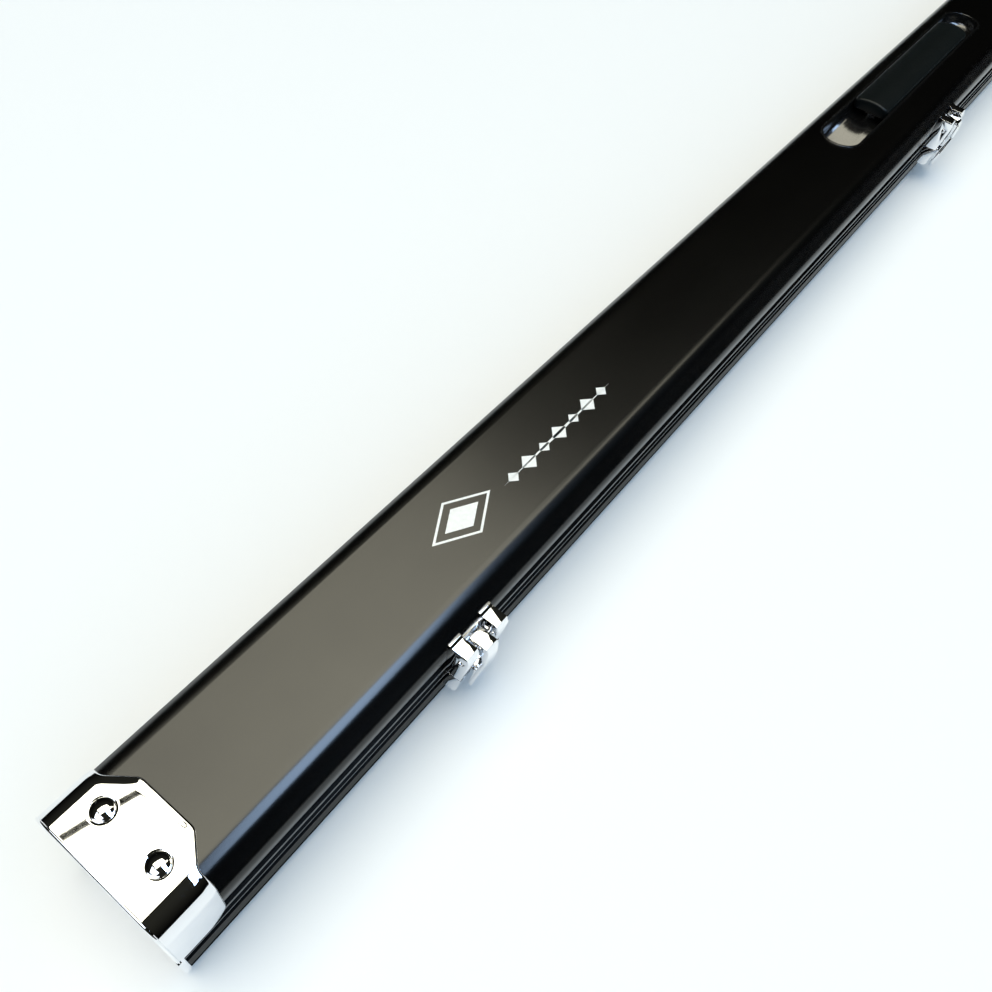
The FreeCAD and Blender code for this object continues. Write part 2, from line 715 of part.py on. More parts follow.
def make_hinge_leaf(label, sign, first_knuckle):
    """One leaf of the long hinge; sign is +1 for the lid's leaf and -1 for the base's."""
    body = new_body(label)
    near = size.base_height + sign * size.leaf_clearance
    far = near + sign * size.leaf_height
    plate = new_sketch(body, "plate", "YZ_Plane")
    outline(plate, box_outline(half_width, near, half_width + size.leaf_thickness, far))
    pad(body, plate, size.hinge_length, both_ways=True)
    start = first_knuckle * size.knuckle_pitch / 2 - size.hinge_length / 2 + size.knuckle_gap / 2
    long_way = size.knuckle_pitch / 2 - size.knuckle_gap
    web = new_sketch(body, "web", "YZ_Plane", lift=start)
    outline(web, box_outline(half_width, near, half_width + size.web_thickness, size.base_height))
    barrel = new_sketch(body, "barrel", "YZ_Plane", lift=start)
    axis_y = half_width + size.hinge_out
    circle(barrel, axis_y, size.base_height, size.barrel_radius)
    count = round(size.hinge_length.value / size.knuckle_pitch.value)
    knuckle = [pad(body, web, long_way), pad(body, barrel, long_way)]
    repeat(body, knuckle, size.hinge_length - size.knuckle_pitch, count)
    bore = new_sketch(body, "bore", "YZ_Plane")
    circle(bore, axis_y, size.base_height, size.hinge_pin_radius + size.hinge_pin_play)
    pocket(body, bore, both_ways=True)
    level = size.base_height + sign * size.hinge_rivet_drop
    spots = [(across, level) for across in hinge_rivet_places()]
    drill_side(body, "rivet_holes", False, spots, size.rivet_shank + size.rivet_play)
    return body


def make_rod(label, x, y, z, radius, length, along_x):
    """A plain round rod, along X or along Z from the place given."""
    rod = doc.addObject("Part::Cylinder", label)
    rod.Label = label
    if along_x:
        rod.Placement = FreeCAD.Placement(FreeCAD.Vector(), FreeCAD.Rotation(0, 90, 0))
    bind(rod, "Radius", radius)
    bind(rod, "Height", length)
    place(rod, x=x, y=y, z=z)
    return rod


# ---------------------------------------------------------------- latches

def cheek_hollows(body, name, upper, lower, outer_top, outer_bottom):
    """Hollow the two cheeks of a bracket or catch out to sheet thickness."""
    sheet = size.latch_plate
    width = (size.latch_width - size.notch_width) / 2 - 2 * sheet
    for side, sign in (("left", -1), ("right", 1)):
        middle = sign * (size.notch_width + size.latch_width) / 4
        sketch = new_sketch(body, f"{name}_{side}", "YZ_Plane", lift=middle)
        outline(sketch, [
            on_side(sheet, upper),
            on_side(outer_top, upper),
            on_side(outer_bottom, lower),
            on_side(sheet, lower),
        ])
        pocket(body, sketch, width, both_ways=True)


def cut_notch(body):
    """Clear the middle of a bracket or catch down to its back plate."""
    notch = new_sketch(body, "notch", "YZ_Plane")
    outline(notch, [
        on_side(size.latch_plate, sized(0)),
        on_side(size.latch_reach, sized(0)),
        on_side(size.latch_reach, lid_top),
        on_side(size.latch_plate, lid_top),
    ])
    pocket(body, notch, size.notch_width, both_ways=True)


def drill_latch_plate(body, depth):
    spots = [(sign * size.latch_rivet_offset, lid_top - depth) for sign in (-1, 1)]
    sketch = new_sketch(body, "rivet_holes", "XZ_Plane", lift=half_width + size.latch_plate)
    for across, up in spots:
        circle(sketch, across, up, size.rivet_shank + size.rivet_play)
    pocket(body, sketch, size.latch_plate * 2)


def make_bracket(side, x):
    """Bracket on the lid: a back plate and two cheeks with a notch between them."""
    body = new_body(f"latch_bracket_{side}", x=x)
    sheet = size.latch_plate
    bottom = size.split_depth - size.split_half_gap
    section = new_sketch(body, "section", "YZ_Plane")
    outline(section, [
        on_side(sized(0), size.bracket_top),
        on_side(sheet, size.bracket_top),
        on_side(sheet + sheet, size.roof_depth),
        on_side(size.roof_reach, size.roof_depth),
        on_side(size.cheek_reach, size.cheek_depth),
        on_side(size.split_reach, bottom),
        on_side(sized(0), bottom),
    ])
    pad(body, section, size.latch_width, both_ways=True)
    cut_notch(body)
    dip = new_sketch(body, "dip", "YZ_Plane")
    outline(dip, [
        on_side(sized(0), size.bracket_top - sheet),
        on_side(sheet + sheet, size.bracket_top - sheet),
        on_side(sheet + sheet, size.bracket_dip),
        on_side(sized(0), size.bracket_dip),
    ])
    pocket(body, dip, size.notch_width, both_ways=True)
    cheek_hollows(body, "hollow", size.cheek_depth, bottom + sheet,
                  size.cheek_reach - sheet, size.split_reach - sheet)
    bore = new_sketch(body, "pin_bore", "YZ_Plane")
    circle(bore, *on_side(size.pin_reach, size.pin_depth), size.pin_radius + size.pin_fit)
    pocket(body, bore, both_ways=True)
    drill_latch_plate(body, size.bracket_rivet_depth)
    return body


def make_catch(side, x):
    """Catch on the base: a back plate, two tapering cheeks and the keeper bar between them."""
    body = new_body(f"latch_catch_{side}", x=x)
    sheet = size.latch_plate
    top = size.split_depth + size.split_half_gap
    section = new_sketch(body, "section", "YZ_Plane")
    outline(section, [
        on_side(sized(0), top),
        on_side(size.split_reach, top),
        on_side(size.foot_reach, size.foot_depth - sheet),
        on_side(size.foot_reach - sheet, size.foot_depth),
        on_side(sized(0), size.foot_depth),
    ])
    pad(body, section, size.latch_width, both_ways=True)
    cut_notch(body)
    cheek_hollows(body, "hollow", top - sheet, size.foot_depth - sheet,
                  size.split_reach - sheet, size.foot_reach - sheet)
    keeper = new_sketch(body, "keeper", "YZ_Plane")
    outline(keeper, [
        on_side(sheet, size.keeper_start),
        on_side(size.keeper_reach, size.keeper_start),
        on_side(size.keeper_reach, size.keeper_end),
        on_side(sheet, size.keeper_end),
    ])
    pad(body, keeper, size.notch_width, both_ways=True)
    drill_latch_plate(body, size.catch_rivet_depth)
    return body


def make_lever(side, x):
    """Lever: a split barrel on the pin, a neck in the notch, a broad tongue and a hook."""
    body = new_body(f"latch_lever_{side}", x=x)
    sheet = size.lever_sheet
    back_reach = size.latch_reach - sheet
    back_depth = size.lever_waist_depth + sheet
    section = new_sketch(body, "section", "YZ_Plane")
    outline(section, [
        on_side(size.pin_reach - size.lever_barrel, size.pin_depth - sheet),
        on_side(size.pin_reach - size.lever_barrel, size.lever_crest_depth),
        on_side(size.lever_crest_reach, size.lever_crest_depth),
        on_side(size.lever_brow_reach, size.lever_brow_depth),
        on_side(size.latch_reach, size.lever_waist_depth),
        on_side(size.lever_end_reach, size.lever_end_depth),
        on_side(size.lever_end_reach - sheet, size.lever_end_depth),
        on_side(back_reach - size.seam_gap, back_depth),
        on_side(size.pin_reach + size.lever_barrel - size.seam_gap, size.pin_depth + sheet),
    ])
    pad(body, section, size.lever_tongue, both_ways=True)
    front = new_sketch(body, "front", "XZ_Plane")
    neck = size.lever_neck / 2
    tongue = size.lever_tongue / 2
    spring_line = size.lever_end_depth - tongue
    outline(front, box_outline(-size.latch_width, sized(0), size.latch_width, lid_top))
    outline(front, [
        (-neck, lid_top - size.bracket_top),
        (neck, lid_top - size.bracket_top),
        (neck, lid_top - size.lever_neck_depth),
        (tongue, lid_top - size.lever_flare_depth),
        (tongue, lid_top - spring_line, -tongue),
        (sized(0), lid_top - size.lever_end_depth, -tongue),
        (-tongue, lid_top - spring_line),
        (-tongue, lid_top - size.lever_flare_depth),
        (-neck, lid_top - size.lever_neck_depth),
    ])
    pocket(body, front, both_ways=True)
    pin = on_side(size.pin_reach, size.pin_depth)
    barrel = new_sketch(body, "barrel", "YZ_Plane")
    circle(barrel, *pin, size.lever_barrel)
    pad(body, barrel, size.lever_neck, both_ways=True)
    slot = new_sketch(body, "spring_slot", "YZ_Plane")
    circle(slot, *pin, size.spring_slot_radius)
    pocket(body, slot, size.spring_slot, both_ways=True)
    hook = new_sketch(body, "hook", "YZ_Plane")
    outline(hook, [
        on_side(size.hook_reach, size.hook_start),
        on_side(size.lever_end_reach, size.hook_start),
        on_side(size.lever_end_reach, size.hook_end),
        on_side(size.hook_reach + sheet, size.hook_end),
    ])
    pad(body, hook, size.hook_width, both_ways=True)
    bore = new_sketch(body, "bore", "YZ_Plane")
    circle(bore, *pin, size.pin_radius + size.pin_play)
    pocket(body, bore, both_ways=True)
    return body


def make_spring(side, x):
    """Torsion spring round the pin, with one arm to the bracket and one along the lever.

    It is drawn with its coil upright and then laid along the case: its own first axis points
    away from the case's side and its second one points down."""
    label = f"latch_spring_{side}"
    height = size.spring_rise * size.spring_turns
    coil = doc.addObject("Part::Helix", f"{label}_coil")
    bind(coil, "Radius", size.spring_radius)
    bind(coil, "Pitch", size.spring_rise)
    bind(coil, "Height", height)
    coil.Placement = FreeCAD.Placement(FreeCAD.Vector(), FreeCAD.Rotation(-90, 0, 0))
    wire = doc.addObject("Part::Circle", f"{label}_wire")
    bind(wire, "Radius", size.spring_wire)
    wire.Placement = FreeCAD.Placement(FreeCAD.Vector(), FreeCAD.Rotation(0, 90, 0))
    bind(wire, "Placement.Base.y", -size.spring_radius)
    sweep = doc.addObject("Part::Sweep", f"{label}_sweep")
    sweep.Sections = [wire]
    sweep.Spine = (coil, [])
    sweep.Solid = True
    sweep.Frenet = True
    arm = doc.addObject("Part::Cylinder", f"{label}_arm")
    bind(arm, "Radius", size.spring_wire)
    bind(arm, "Height", size.spring_arm)
    arm.Placement = FreeCAD.Placement(FreeCAD.Vector(), FreeCAD.Rotation(0, -90, 0))
    bind(arm, "Placement.Base.y", -size.spring_radius)
    leg = doc.addObject("Part::Cylinder", f"{label}_leg")
    bind(leg, "Radius", size.spring_wire)
    bind(leg, "Height", size.spring_leg)
    leg.Placement = FreeCAD.Placement(FreeCAD.Vector(), FreeCAD.Rotation(0, 0, -90))
    bind(leg, "Placement.Base.x", size.spring_radius)
    bind(leg, "Placement.Base.z", height)
    spring = doc.addObject("Part::MultiFuse", label)
    spring.Label = label
    spring.Shapes = [sweep, arm, leg]
    away = FreeCAD.Vector(0, -1, 0)
    down = FreeCAD.Vector(0, 0, -1)
    along = FreeCAD.Vector(1, 0, 0)
    spring.Placement = FreeCAD.Placement(FreeCAD.Vector(), FreeCAD.Rotation(away, down, along))
    reach, level = on_side(size.pin_reach, size.pin_depth)
    place(spring, x=x - height / 2, y=reach, z=level)
    return spring


def make_latch(side, station):
    """All five pieces of one latch, at its place along the case."""
    x = station * size.latch_pitch
    length = size.latch_width + 2 * size.pin_overhang
    reach, level = on_side(size.pin_reach, size.pin_depth)
    pin = make_rod(f"latch_pin_{side}", x - length / 2, reach, level, size.pin_radius, length, True)
    pieces = [make_bracket(side, x), make_catch(side, x), make_lever(side, x)]
    return pieces + [make_spring(side, x), pin]


# ---------------------------------------------------------------- handle

def leg_spots():
    return [(size.handle_shift + sign * size.leg_offset, size.handle_offset) for sign in (-1, 1)]


def make_tray():
    """Pressed tray in the lid's slot, with a narrow rim on the lid's top."""
    body = new_body("handle_tray")
    offset = size.handle_offset
    rim = new_sketch(body, "rim", "XY_Plane", lift=lid_top)
    outline(rim, stadium(offset, size.slot_half_length + size.tray_rim_width,
                         size.slot_radius + size.tray_rim_width))
    pad(body, rim, size.tray_rim)
    tub = new_sketch(body, "tub", "XY_Plane", lift=lid_top)
    play = size.tray_play
    outline(tub, stadium(offset, size.slot_half_length - play, size.slot_radius - play))
    pad(body, tub, size.tray_depth + size.tray_sheet, backwards=True)
    inside = new_sketch(body, "inside", "XY_Plane", lift=lid_top + size.tray_rim)
    inset = play + size.tray_sheet
    outline(inside, stadium(offset, size.slot_half_length - inset, size.slot_radius - inset))
    pocket(body, inside, size.tray_depth + size.tray_rim)
    round_edges(body, "inner_round", size.tray_round, lies_at(tray_floor))
    round_edges(body, "outer_round", size.tray_round + size.tray_sheet,
                lies_at(tray_floor - size.tray_sheet))
    drill_top(body, "bush_holes", leg_spots(), size.bush_radius + size.bush_play,
              size.tray_sheet * 2, tray_floor)
    return body


def make_bushes():
    """Two flanged guide bushes in the tray's floor."""
    body = new_body("handle_bushes")
    bore = size.leg_radius + size.bush_play
    sketch = new_sketch(body, "section", "XZ_Plane", lift=-size.handle_offset,
                        across=size.handle_shift - size.leg_offset)
    top = tray_floor + size.bush_flange_height
    outline(sketch, [
        (bore, bush_bottom),
        (size.bush_radius, bush_bottom),
        (size.bush_radius, tray_floor),
        (size.bush_flange, tray_floor),
        (size.bush_flange, top),
        (bore, top),
    ])
    repeat(body, [revolve(body, sketch)], 2 * size.leg_offset, 2)
    return body


def make_clips():
    """Two stop clips on the legs' lower ends."""
    body = new_body("handle_clips")
    sketch = new_sketch(body, "rings", "XY_Plane", lift=clip_top)
    for across, up in leg_spots():
        circle(sketch, across, up, size.clip_radius)
        circle(sketch, across, up, size.leg_radius + size.leg_play)
    pad(body, sketch, size.clip_height, backwards=True)
    return body


def make_grip():
    """Moulded grip with a crowned top, rounded ends and a boss round each leg."""
    body = new_body("handle_grip")
    half = size.grip_half_width
    edge = lid_top + size.grip_edge
    crown = size.grip_crown
    ball = (half * half + crown * crown) / (2 * crown)
    offset = size.handle_offset
    section = new_sketch(body, "section", "YZ_Plane", lift=size.handle_shift)
    outline(section, [
        (offset - half, grip_bottom),
        (offset - half, edge, -ball),
        (offset + half, edge),
        (offset + half, grip_bottom),
    ])
    pad(body, section, 2 * size.grip_half_length, both_ways=True)
    round_edges(body, "corners", size.grip_corner,
                lambda line: line.BoundBox.ZLength > 1 and line.BoundBox.YLength < 0.01)
    boss = new_sketch(body, "bosses", "XY_Plane", lift=grip_bottom)
    for across, up in leg_spots():
        circle(boss, across, up, size.grip_boss)
    boss_foot = tray_floor + size.bush_flange_height + size.grip_boss_clearance
    pad(body, boss, grip_bottom - boss_foot, backwards=True)
    seat = new_sketch(body, "seats", "XY_Plane", lift=boss_foot)
    for across, up in leg_spots():
        circle(seat, across, up, size.leg_radius + size.leg_play)
    pocket(body, seat, grip_bottom - boss_foot + size.leg_seat, backwards=True)
    return body


def make_leg(side, sign):
    bottom = clip_top - size.clip_height - size.leg_overhang
    length = grip_bottom + size.leg_seat - bottom
    across = size.handle_shift + sign * size.leg_offset
    return make_rod(f"handle_leg_{side}", across, size.handle_offset, bottom, size.leg_radius,
                    length, False)


# ---------------------------------------------------------------- liners

def make_lid_liner():
    """Foam liner of the lid, with an opening for the handle's tray and legs."""
    body = new_body("lid_liner")
    half = half_width - size.wall - size.liner_gap
    top = lid_top - size.wall - size.liner_gap
    skirt = size.liner_skirt
    blank = new_sketch(body, "blank", "YZ_Plane")
    outline(blank, arch(half, size.liner_bottom, top, size.liner_round))
    length = lid_length - 2 * size.liner_end
    pad(body, blank, length, both_ways=True)
    hollow = new_sketch(body, "hollow", "YZ_Plane")
    outline(hollow, arch(half - skirt, size.liner_bottom - skirt, top - size.liner_roof,
                         size.liner_round - skirt))
    pocket(body, hollow, length, both_ways=True)
    window = new_sketch(body, "window", "XY_Plane")
    reach = size.liner_window_half_length
    wide = size.liner_window_half_width
    outline(window, box_outline(-reach, size.handle_offset - wide, reach,
                                size.handle_offset + wide))
    pocket(body, window, both_ways=True)
    return body


def make_base_liner():
    """Foam liner of the base, with a long channel for the cue and one for its extension."""
    body = new_body("base_liner")
    top = size.cushion_top
    length = base_length - 2 * (size.plug_depth + size.cushion_end)
    blank = new_sketch(body, "blank", "YZ_Plane")
    outline(blank, bowl(size.cushion_half_width, size.cushion_bottom, top, size.liner_round))
    pad(body, blank, length, both_ways=True)
    channels = (
        ("cue", -size.cue_channel_offset, size.cue_channel_radius, size.cue_channel_floor),
        ("spare", size.spare_channel_offset, size.spare_channel_radius, size.spare_channel_floor),
    )
    for name, middle, radius, floor in channels:
        sketch = new_sketch(body, name, "YZ_Plane")
        outline(sketch, [
            (middle - radius, top + size.wall),
            (middle - radius, floor + radius, radius),
            (middle, floor, radius),
            (middle + radius, floor + radius),
            (middle + radius, top + size.wall),
        ])
        pocket(body, sketch, length - 2 * size.channel_end, both_ways=True)
    return body


# ---------------------------------------------------------------- the whole case

def make_case():
    pieces = [make_base_shell(), make_lid_shell(), make_base_liner(), make_lid_liner()]
    for side in SIDES:
        pieces += [make_lid_cap(side), make_base_cap(side)]
    pieces += [
        make_cap_rivets(),
        make_latch_rivets("bracket_rivets", size.bracket_rivet_depth),
        make_latch_rivets("catch_rivets", size.catch_rivet_depth),
        make_hinge_rivets("hinge_rivets_lid", 1),
        make_hinge_rivets("hinge_rivets_base", -1),
        make_hinge_leaf("hinge_leaf_base", -1, 0),
        make_hinge_leaf("hinge_leaf_lid", 1, 1),
        make_rod("hinge_pin", -size.hinge_length / 2, half_width + size.hinge_out,
                 size.base_height, size.hinge_pin_radius, size.hinge_length, True),
    ]
    for side, station in STATIONS:
        pieces += make_latch(side, station)
    pieces += [make_tray(), make_bushes(), make_grip(), make_clips()]
    for side, sign in zip(SIDES, (-1, 1)):
        pieces.append(make_leg(side, sign))
    return pieces


def check(pieces):
    """Stop unless every feature is sound, every cut removes something and every piece is solid."""
    for item in doc.Objects:
        if "Invalid" in item.State or "Error" in item.State:
            raise RuntimeError(f"{item.Name} is {item.State}")
        if item.TypeId == "PartDesign::Pocket":
            if item.Shape.Volume >= item.BaseFeature.Shape.Volume - 0.01:
                raise RuntimeError(f"{item.Name} cuts nothing")
    for piece in pieces:
        shape = piece.Shape
        if shape.isNull() or not shape.isValid() or not shape.Solids:
            raise RuntimeError(f"{piece.Label} is not a valid solid")


def export(pieces):
    os.makedirs("parts", exist_ok=True)
    for piece in pieces:
        piece.Shape.exportStep(os.path.join("parts", f"{piece.Label}.step"))


case = make_case()
doc.recompute()
check(case)
export(case)
for piece in case:
    box = piece.Shape.BoundBox
    print(f"{piece.Label:22s} solids {len(piece.Shape.Solids):3d}  volume {piece.Shape.Volume:10.1f}"
          f"  x {box.XMin:7.1f} {box.XMax:7.1f}  y {box.YMin:6.2f} {box.YMax:6.2f}"
          f"  z {box.ZMin:6.2f} {box.ZMax:6.2f}")
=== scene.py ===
"""Looks of the full-length cue case.

Satin black extrusions, chromed caps and latches, flocked liners.
"""

import json
import math

import bmesh
import bpy
import numpy as np
from mathutils import Matrix, Vector

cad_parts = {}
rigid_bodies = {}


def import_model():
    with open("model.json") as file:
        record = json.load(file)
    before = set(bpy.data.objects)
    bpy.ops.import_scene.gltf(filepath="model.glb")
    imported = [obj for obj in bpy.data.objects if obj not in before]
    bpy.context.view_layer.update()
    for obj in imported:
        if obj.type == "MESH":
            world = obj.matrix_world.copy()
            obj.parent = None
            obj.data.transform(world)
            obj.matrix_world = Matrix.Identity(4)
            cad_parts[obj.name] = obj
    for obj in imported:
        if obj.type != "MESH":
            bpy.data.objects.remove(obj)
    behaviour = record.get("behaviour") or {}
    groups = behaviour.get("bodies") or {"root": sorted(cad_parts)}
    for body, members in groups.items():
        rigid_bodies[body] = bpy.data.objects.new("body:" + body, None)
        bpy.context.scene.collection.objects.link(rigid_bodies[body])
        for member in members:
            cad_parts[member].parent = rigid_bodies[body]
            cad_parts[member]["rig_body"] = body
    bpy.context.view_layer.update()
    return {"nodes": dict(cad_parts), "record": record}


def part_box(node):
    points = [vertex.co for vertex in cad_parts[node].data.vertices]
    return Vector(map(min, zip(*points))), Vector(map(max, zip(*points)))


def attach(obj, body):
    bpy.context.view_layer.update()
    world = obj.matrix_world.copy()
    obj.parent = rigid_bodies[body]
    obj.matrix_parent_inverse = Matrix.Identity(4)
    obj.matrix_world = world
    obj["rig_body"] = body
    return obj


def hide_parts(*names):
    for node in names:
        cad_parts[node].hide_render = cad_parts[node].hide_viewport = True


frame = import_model()

MM = 0.001
SHELL_LOW, SHELL_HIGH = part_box("lid_shell")
CENTRE_Y = (SHELL_LOW.y + SHELL_HIGH.y) / 2
HALF_WIDTH = (SHELL_HIGH.y - SHELL_LOW.y) / 2
LID_TOP = SHELL_HIGH.z
END_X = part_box("lid_end_cap_right")[1].x
SIDES = ("left", "right")
STATIONS = ("left", "middle", "right")


# ---------------------------------------------------------------- camera, floor and light

CAMERA_SENSOR = 36
CAMERA_LENS = 33.3
CAMERA_FROM_END = 1 * MM
CAMERA_IN_FRONT = 133.1 * MM
CAMERA_ABOVE_LID = 342 * MM
CAMERA_GAZE = (0.5160, 0.3011, -0.8019)
CAMERA_ROLL = 9.41

WARM = (1.0, 0.96, 0.78)
BOX_TURN = -12
FLOOR_HALF_SIZE = 6
ROOM_LOW = (0.002, 0.002, 0.002)
ROOM_HIGH = (0.019, 0.019, 0.015)


def make_camera():
    """A close view from above the near end, along the lid."""
    data = bpy.data.cameras.new("camera")
    data.sensor_width = CAMERA_SENSOR
    data.lens = CAMERA_LENS
    data.clip_start = 0.01
    data.clip_end = 50
    camera = bpy.data.objects.new("camera", data)
    bpy.context.collection.objects.link(camera)
    camera.location = (CAMERA_FROM_END - END_X, CENTRE_Y - CAMERA_IN_FRONT,
                       LID_TOP + CAMERA_ABOVE_LID)
    gaze = Vector(CAMERA_GAZE)
    roll = Matrix.Rotation(math.radians(CAMERA_ROLL), 4, "Z")
    camera.rotation_euler = (gaze.to_track_quat("-Z", "Y").to_matrix().to_4x4() @ roll).to_euler()
    bpy.context.scene.camera = camera


def overhead_light(name, place, turn, size, radiance, colour):
    """A soft box that faces straight down, seen in the gloss only."""
    data = bpy.data.lights.new(name, "AREA")
    data.shape = "RECTANGLE"
    data.size, data.size_y = size
    data.energy = radiance * math.pi * size[0] * size[1]
    data.color = colour
    light = bpy.data.objects.new(name, data)
    light.location = place
    light.rotation_euler.z = turn
    light.visible_diffuse = False
    bpy.context.collection.objects.link(light)


def sun_light(name, energy, spread, tilt, colour):
    """Broad daylight, seen on matt surfaces only."""
    data = bpy.data.lights.new(name, "SUN")
    data.energy = energy
    data.angle = math.radians(spread)
    data.color = colour
    sun = bpy.data.objects.new(name, data)
    sun.rotation_euler = [math.radians(angle) for angle in tilt]
    sun.visible_glossy = False
    bpy.context.collection.objects.link(sun)


def make_lights():
    """Soft boxes for the gloss, and soft daylight for the rest.

    Two warm boxes overhead leave a gap between them, and a narrow one stands over the lid's
    front edge. A cool box is in front of the case and a pale one beyond its left end.
    """
    turn = math.radians(BOX_TURN)
    overhead_light("box_back", (-0.45, 0.68, 1.30), turn, (1.5, 0.28), 3.8, WARM)
    overhead_light("box_front", (-0.45, 0.20, 1.30), turn, (1.5, 0.62), 3.8, WARM)
    overhead_light("box_edge", (0.30, -0.12, 1.30), 0, (1.3, 0.25), 3.2, WARM)
    overhead_light("box_cool", (-0.30, -0.80, 1.30), 0, (0.6, 1.20), 9.0, (0.50, 0.70, 1.0))
    overhead_light("box_end", (-2.00, 0.10, 1.30), 0, (1.3, 1.40), 3.2, (0.85, 0.92, 1.0))
    sun_light("daylight", 1.95, 55, (-8, -6, 0), (1.0, 0.86, 0.60))
    sun_light("skylight", 2.85, 150, (40, 0, 0), (0.56, 0.78, 1.0))


def make_world():
    """A dark room, a little paler overhead."""
    world = bpy.data.worlds.new("studio")
    bpy.context.scene.world = world
    world.use_nodes = True
    tree = world.node_tree
    background = tree.nodes["Background"]
    place = tree.nodes.new("ShaderNodeTexCoord")
    split = tree.nodes.new("ShaderNodeSeparateXYZ")
    ramp = tree.nodes.new("ShaderNodeValToRGB")
    ramp.color_ramp.elements[0].position = 0.15
    ramp.color_ramp.elements[0].color = (*ROOM_LOW, 1)
    ramp.color_ramp.elements[1].position = 0.9
    ramp.color_ramp.elements[1].color = (*ROOM_HIGH, 1)
    tree.links.new(place.outputs["Generated"], split.inputs[0])
    tree.links.new(split.outputs["Z"], ramp.inputs[0])
    tree.links.new(ramp.outputs[0], background.inputs["Color"])
    background.inputs["Strength"].default_value = 1.0


def make_floor():
    """White paper under the case."""
    bm = bmesh.new()
    bmesh.ops.create_grid(bm, x_segments=1, y_segments=1, size=FLOOR_HALF_SIZE)
    mesh = bpy.data.meshes.new("floor")
    bm.to_mesh(mesh)
    bm.free()
    floor = bpy.data.objects.new("floor", mesh)
    floor.location.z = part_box("base_shell")[0].z
    bpy.context.collection.objects.link(floor)
    material = bpy.data.materials.new("floor_paper")
    material.use_nodes = True
    shader = material.node_tree.nodes["Principled BSDF"]
    shader.inputs["Base Color"].default_value = (0.90, 0.905, 0.915, 1)
    shader.inputs["Roughness"].default_value = 0.7
    mesh.materials.append(material)


# ---------------------------------------------------------------- materials

# Heights between which a side leans. BELLY_LEAN and a rim's third value are slopes.
BELLY = (41 * MM, 52.5 * MM)
BELLY_END = (56 * MM, 63.4 * MM)
BELLY_LEAN = 1.0
RIMS = ((31.4 * MM, 38.4 * MM, 1.3), (24.2 * MM, 29.4 * MM, 1.3), (18.2 * MM, 23.2 * MM, 1.3),
        (11 * MM, 18.2 * MM, 0.4), (2 * MM, 11 * MM, 1.1))
DRAWN_LINE_DEPTH = 0.000006
# The tray's floor falls away left of the start, and only below the top.
TRAY_FALL_START = 75 * MM
TRAY_FALL_RADIUS = 33 * MM
TRAY_FALL_TOP = 59 * MM
TRAY_WAVE_HEIGHT = 0.00003


class Finish:
    """A Principled material with a few node helpers."""

    def __init__(self, name, **uniform):
        self.material = bpy.data.materials.new(name)
        self.material.use_nodes = True
        self.tree = self.material.node_tree
        self.shader = self.tree.nodes["Principled BSDF"]
        for socket, value in uniform.items():
            self.shader.inputs[socket.replace("_", " ")].default_value = value
        self.place = self.node("ShaderNodeTexCoord").outputs["Object"]

    def node(self, kind, **settings):
        made = self.tree.nodes.new(kind)
        for name, value in settings.items():
            setattr(made, name, value)
        return made

    def join(self, source, target):
        self.tree.links.new(source, target)

    def noise(self, scale, detail=4.0, rough=0.55, stretch=(1, 1, 1)):
        """Noise in metres: scale counts the cells per metre."""
        mapping = self.node("ShaderNodeMapping")
        mapping.inputs["Scale"].default_value = stretch
        self.join(self.place, mapping.inputs["Vector"])
        noise = self.node("ShaderNodeTexNoise")
        noise.inputs["Scale"].default_value = scale
        noise.inputs["Detail"].default_value = detail
        noise.inputs["Roughness"].default_value = rough
        self.join(mapping.outputs[0], noise.inputs["Vector"])
        return noise.outputs["Fac"]

    def spread(self, source, low, high):
        """Map 0.3..0.7 of a noise to low..high."""
        scaled = self.node("ShaderNodeMapRange")
        scaled.inputs["From Min"].default_value = 0.3
        scaled.inputs["From Max"].default_value = 0.7
        scaled.inputs["To Min"].default_value = low
        scaled.inputs["To Max"].default_value = high
        self.join(source, scaled.inputs["Value"])
        return scaled.outputs[0]

    def tint(self, source, dark, light):
        """Colour between two tints by a noise."""
        mix = self.node("ShaderNodeMix", data_type="RGBA")
        mix.inputs["A"].default_value = (*dark, 1)
        mix.inputs["B"].default_value = (*light, 1)
        self.join(self.spread(source, 0, 1), mix.inputs["Factor"])
        self.join(mix.outputs["Result"], self.shader.inputs["Base Color"])

    def bump(self, source, height, under=None):
        """Raise the surface by source times height, on top of the relief under it."""
        bump = self.node("ShaderNodeBump")
        bump.inputs["Distance"].default_value = height
        bump.inputs["Strength"].default_value = 1.0
        self.join(source, bump.inputs["Height"])
        if under is not None:
            self.join(under, bump.inputs["Normal"])
        self.join(bump.outputs[0], self.shader.inputs["Normal"])
        return bump.outputs[0]

    def split(self):
        """The object's own coordinates as X, Y and Z sockets."""
        split = self.node("ShaderNodeSeparateXYZ")
        self.join(self.place, split.inputs[0])
        return split.outputs

    def maths(self, operation, first, second):
        """One step of arithmetic on numbers or sockets."""
        step = self.node("ShaderNodeMath", operation=operation)
        for socket, value in zip(step.inputs, (first, second)):
            if isinstance(value, float):
                socket.default_value = value
            else:
                self.join(value, socket)
        return step.outputs[0]

    def rough(self, source, low, high):
        self.join(self.spread(source, low, high), self.shader.inputs["Roughness"])


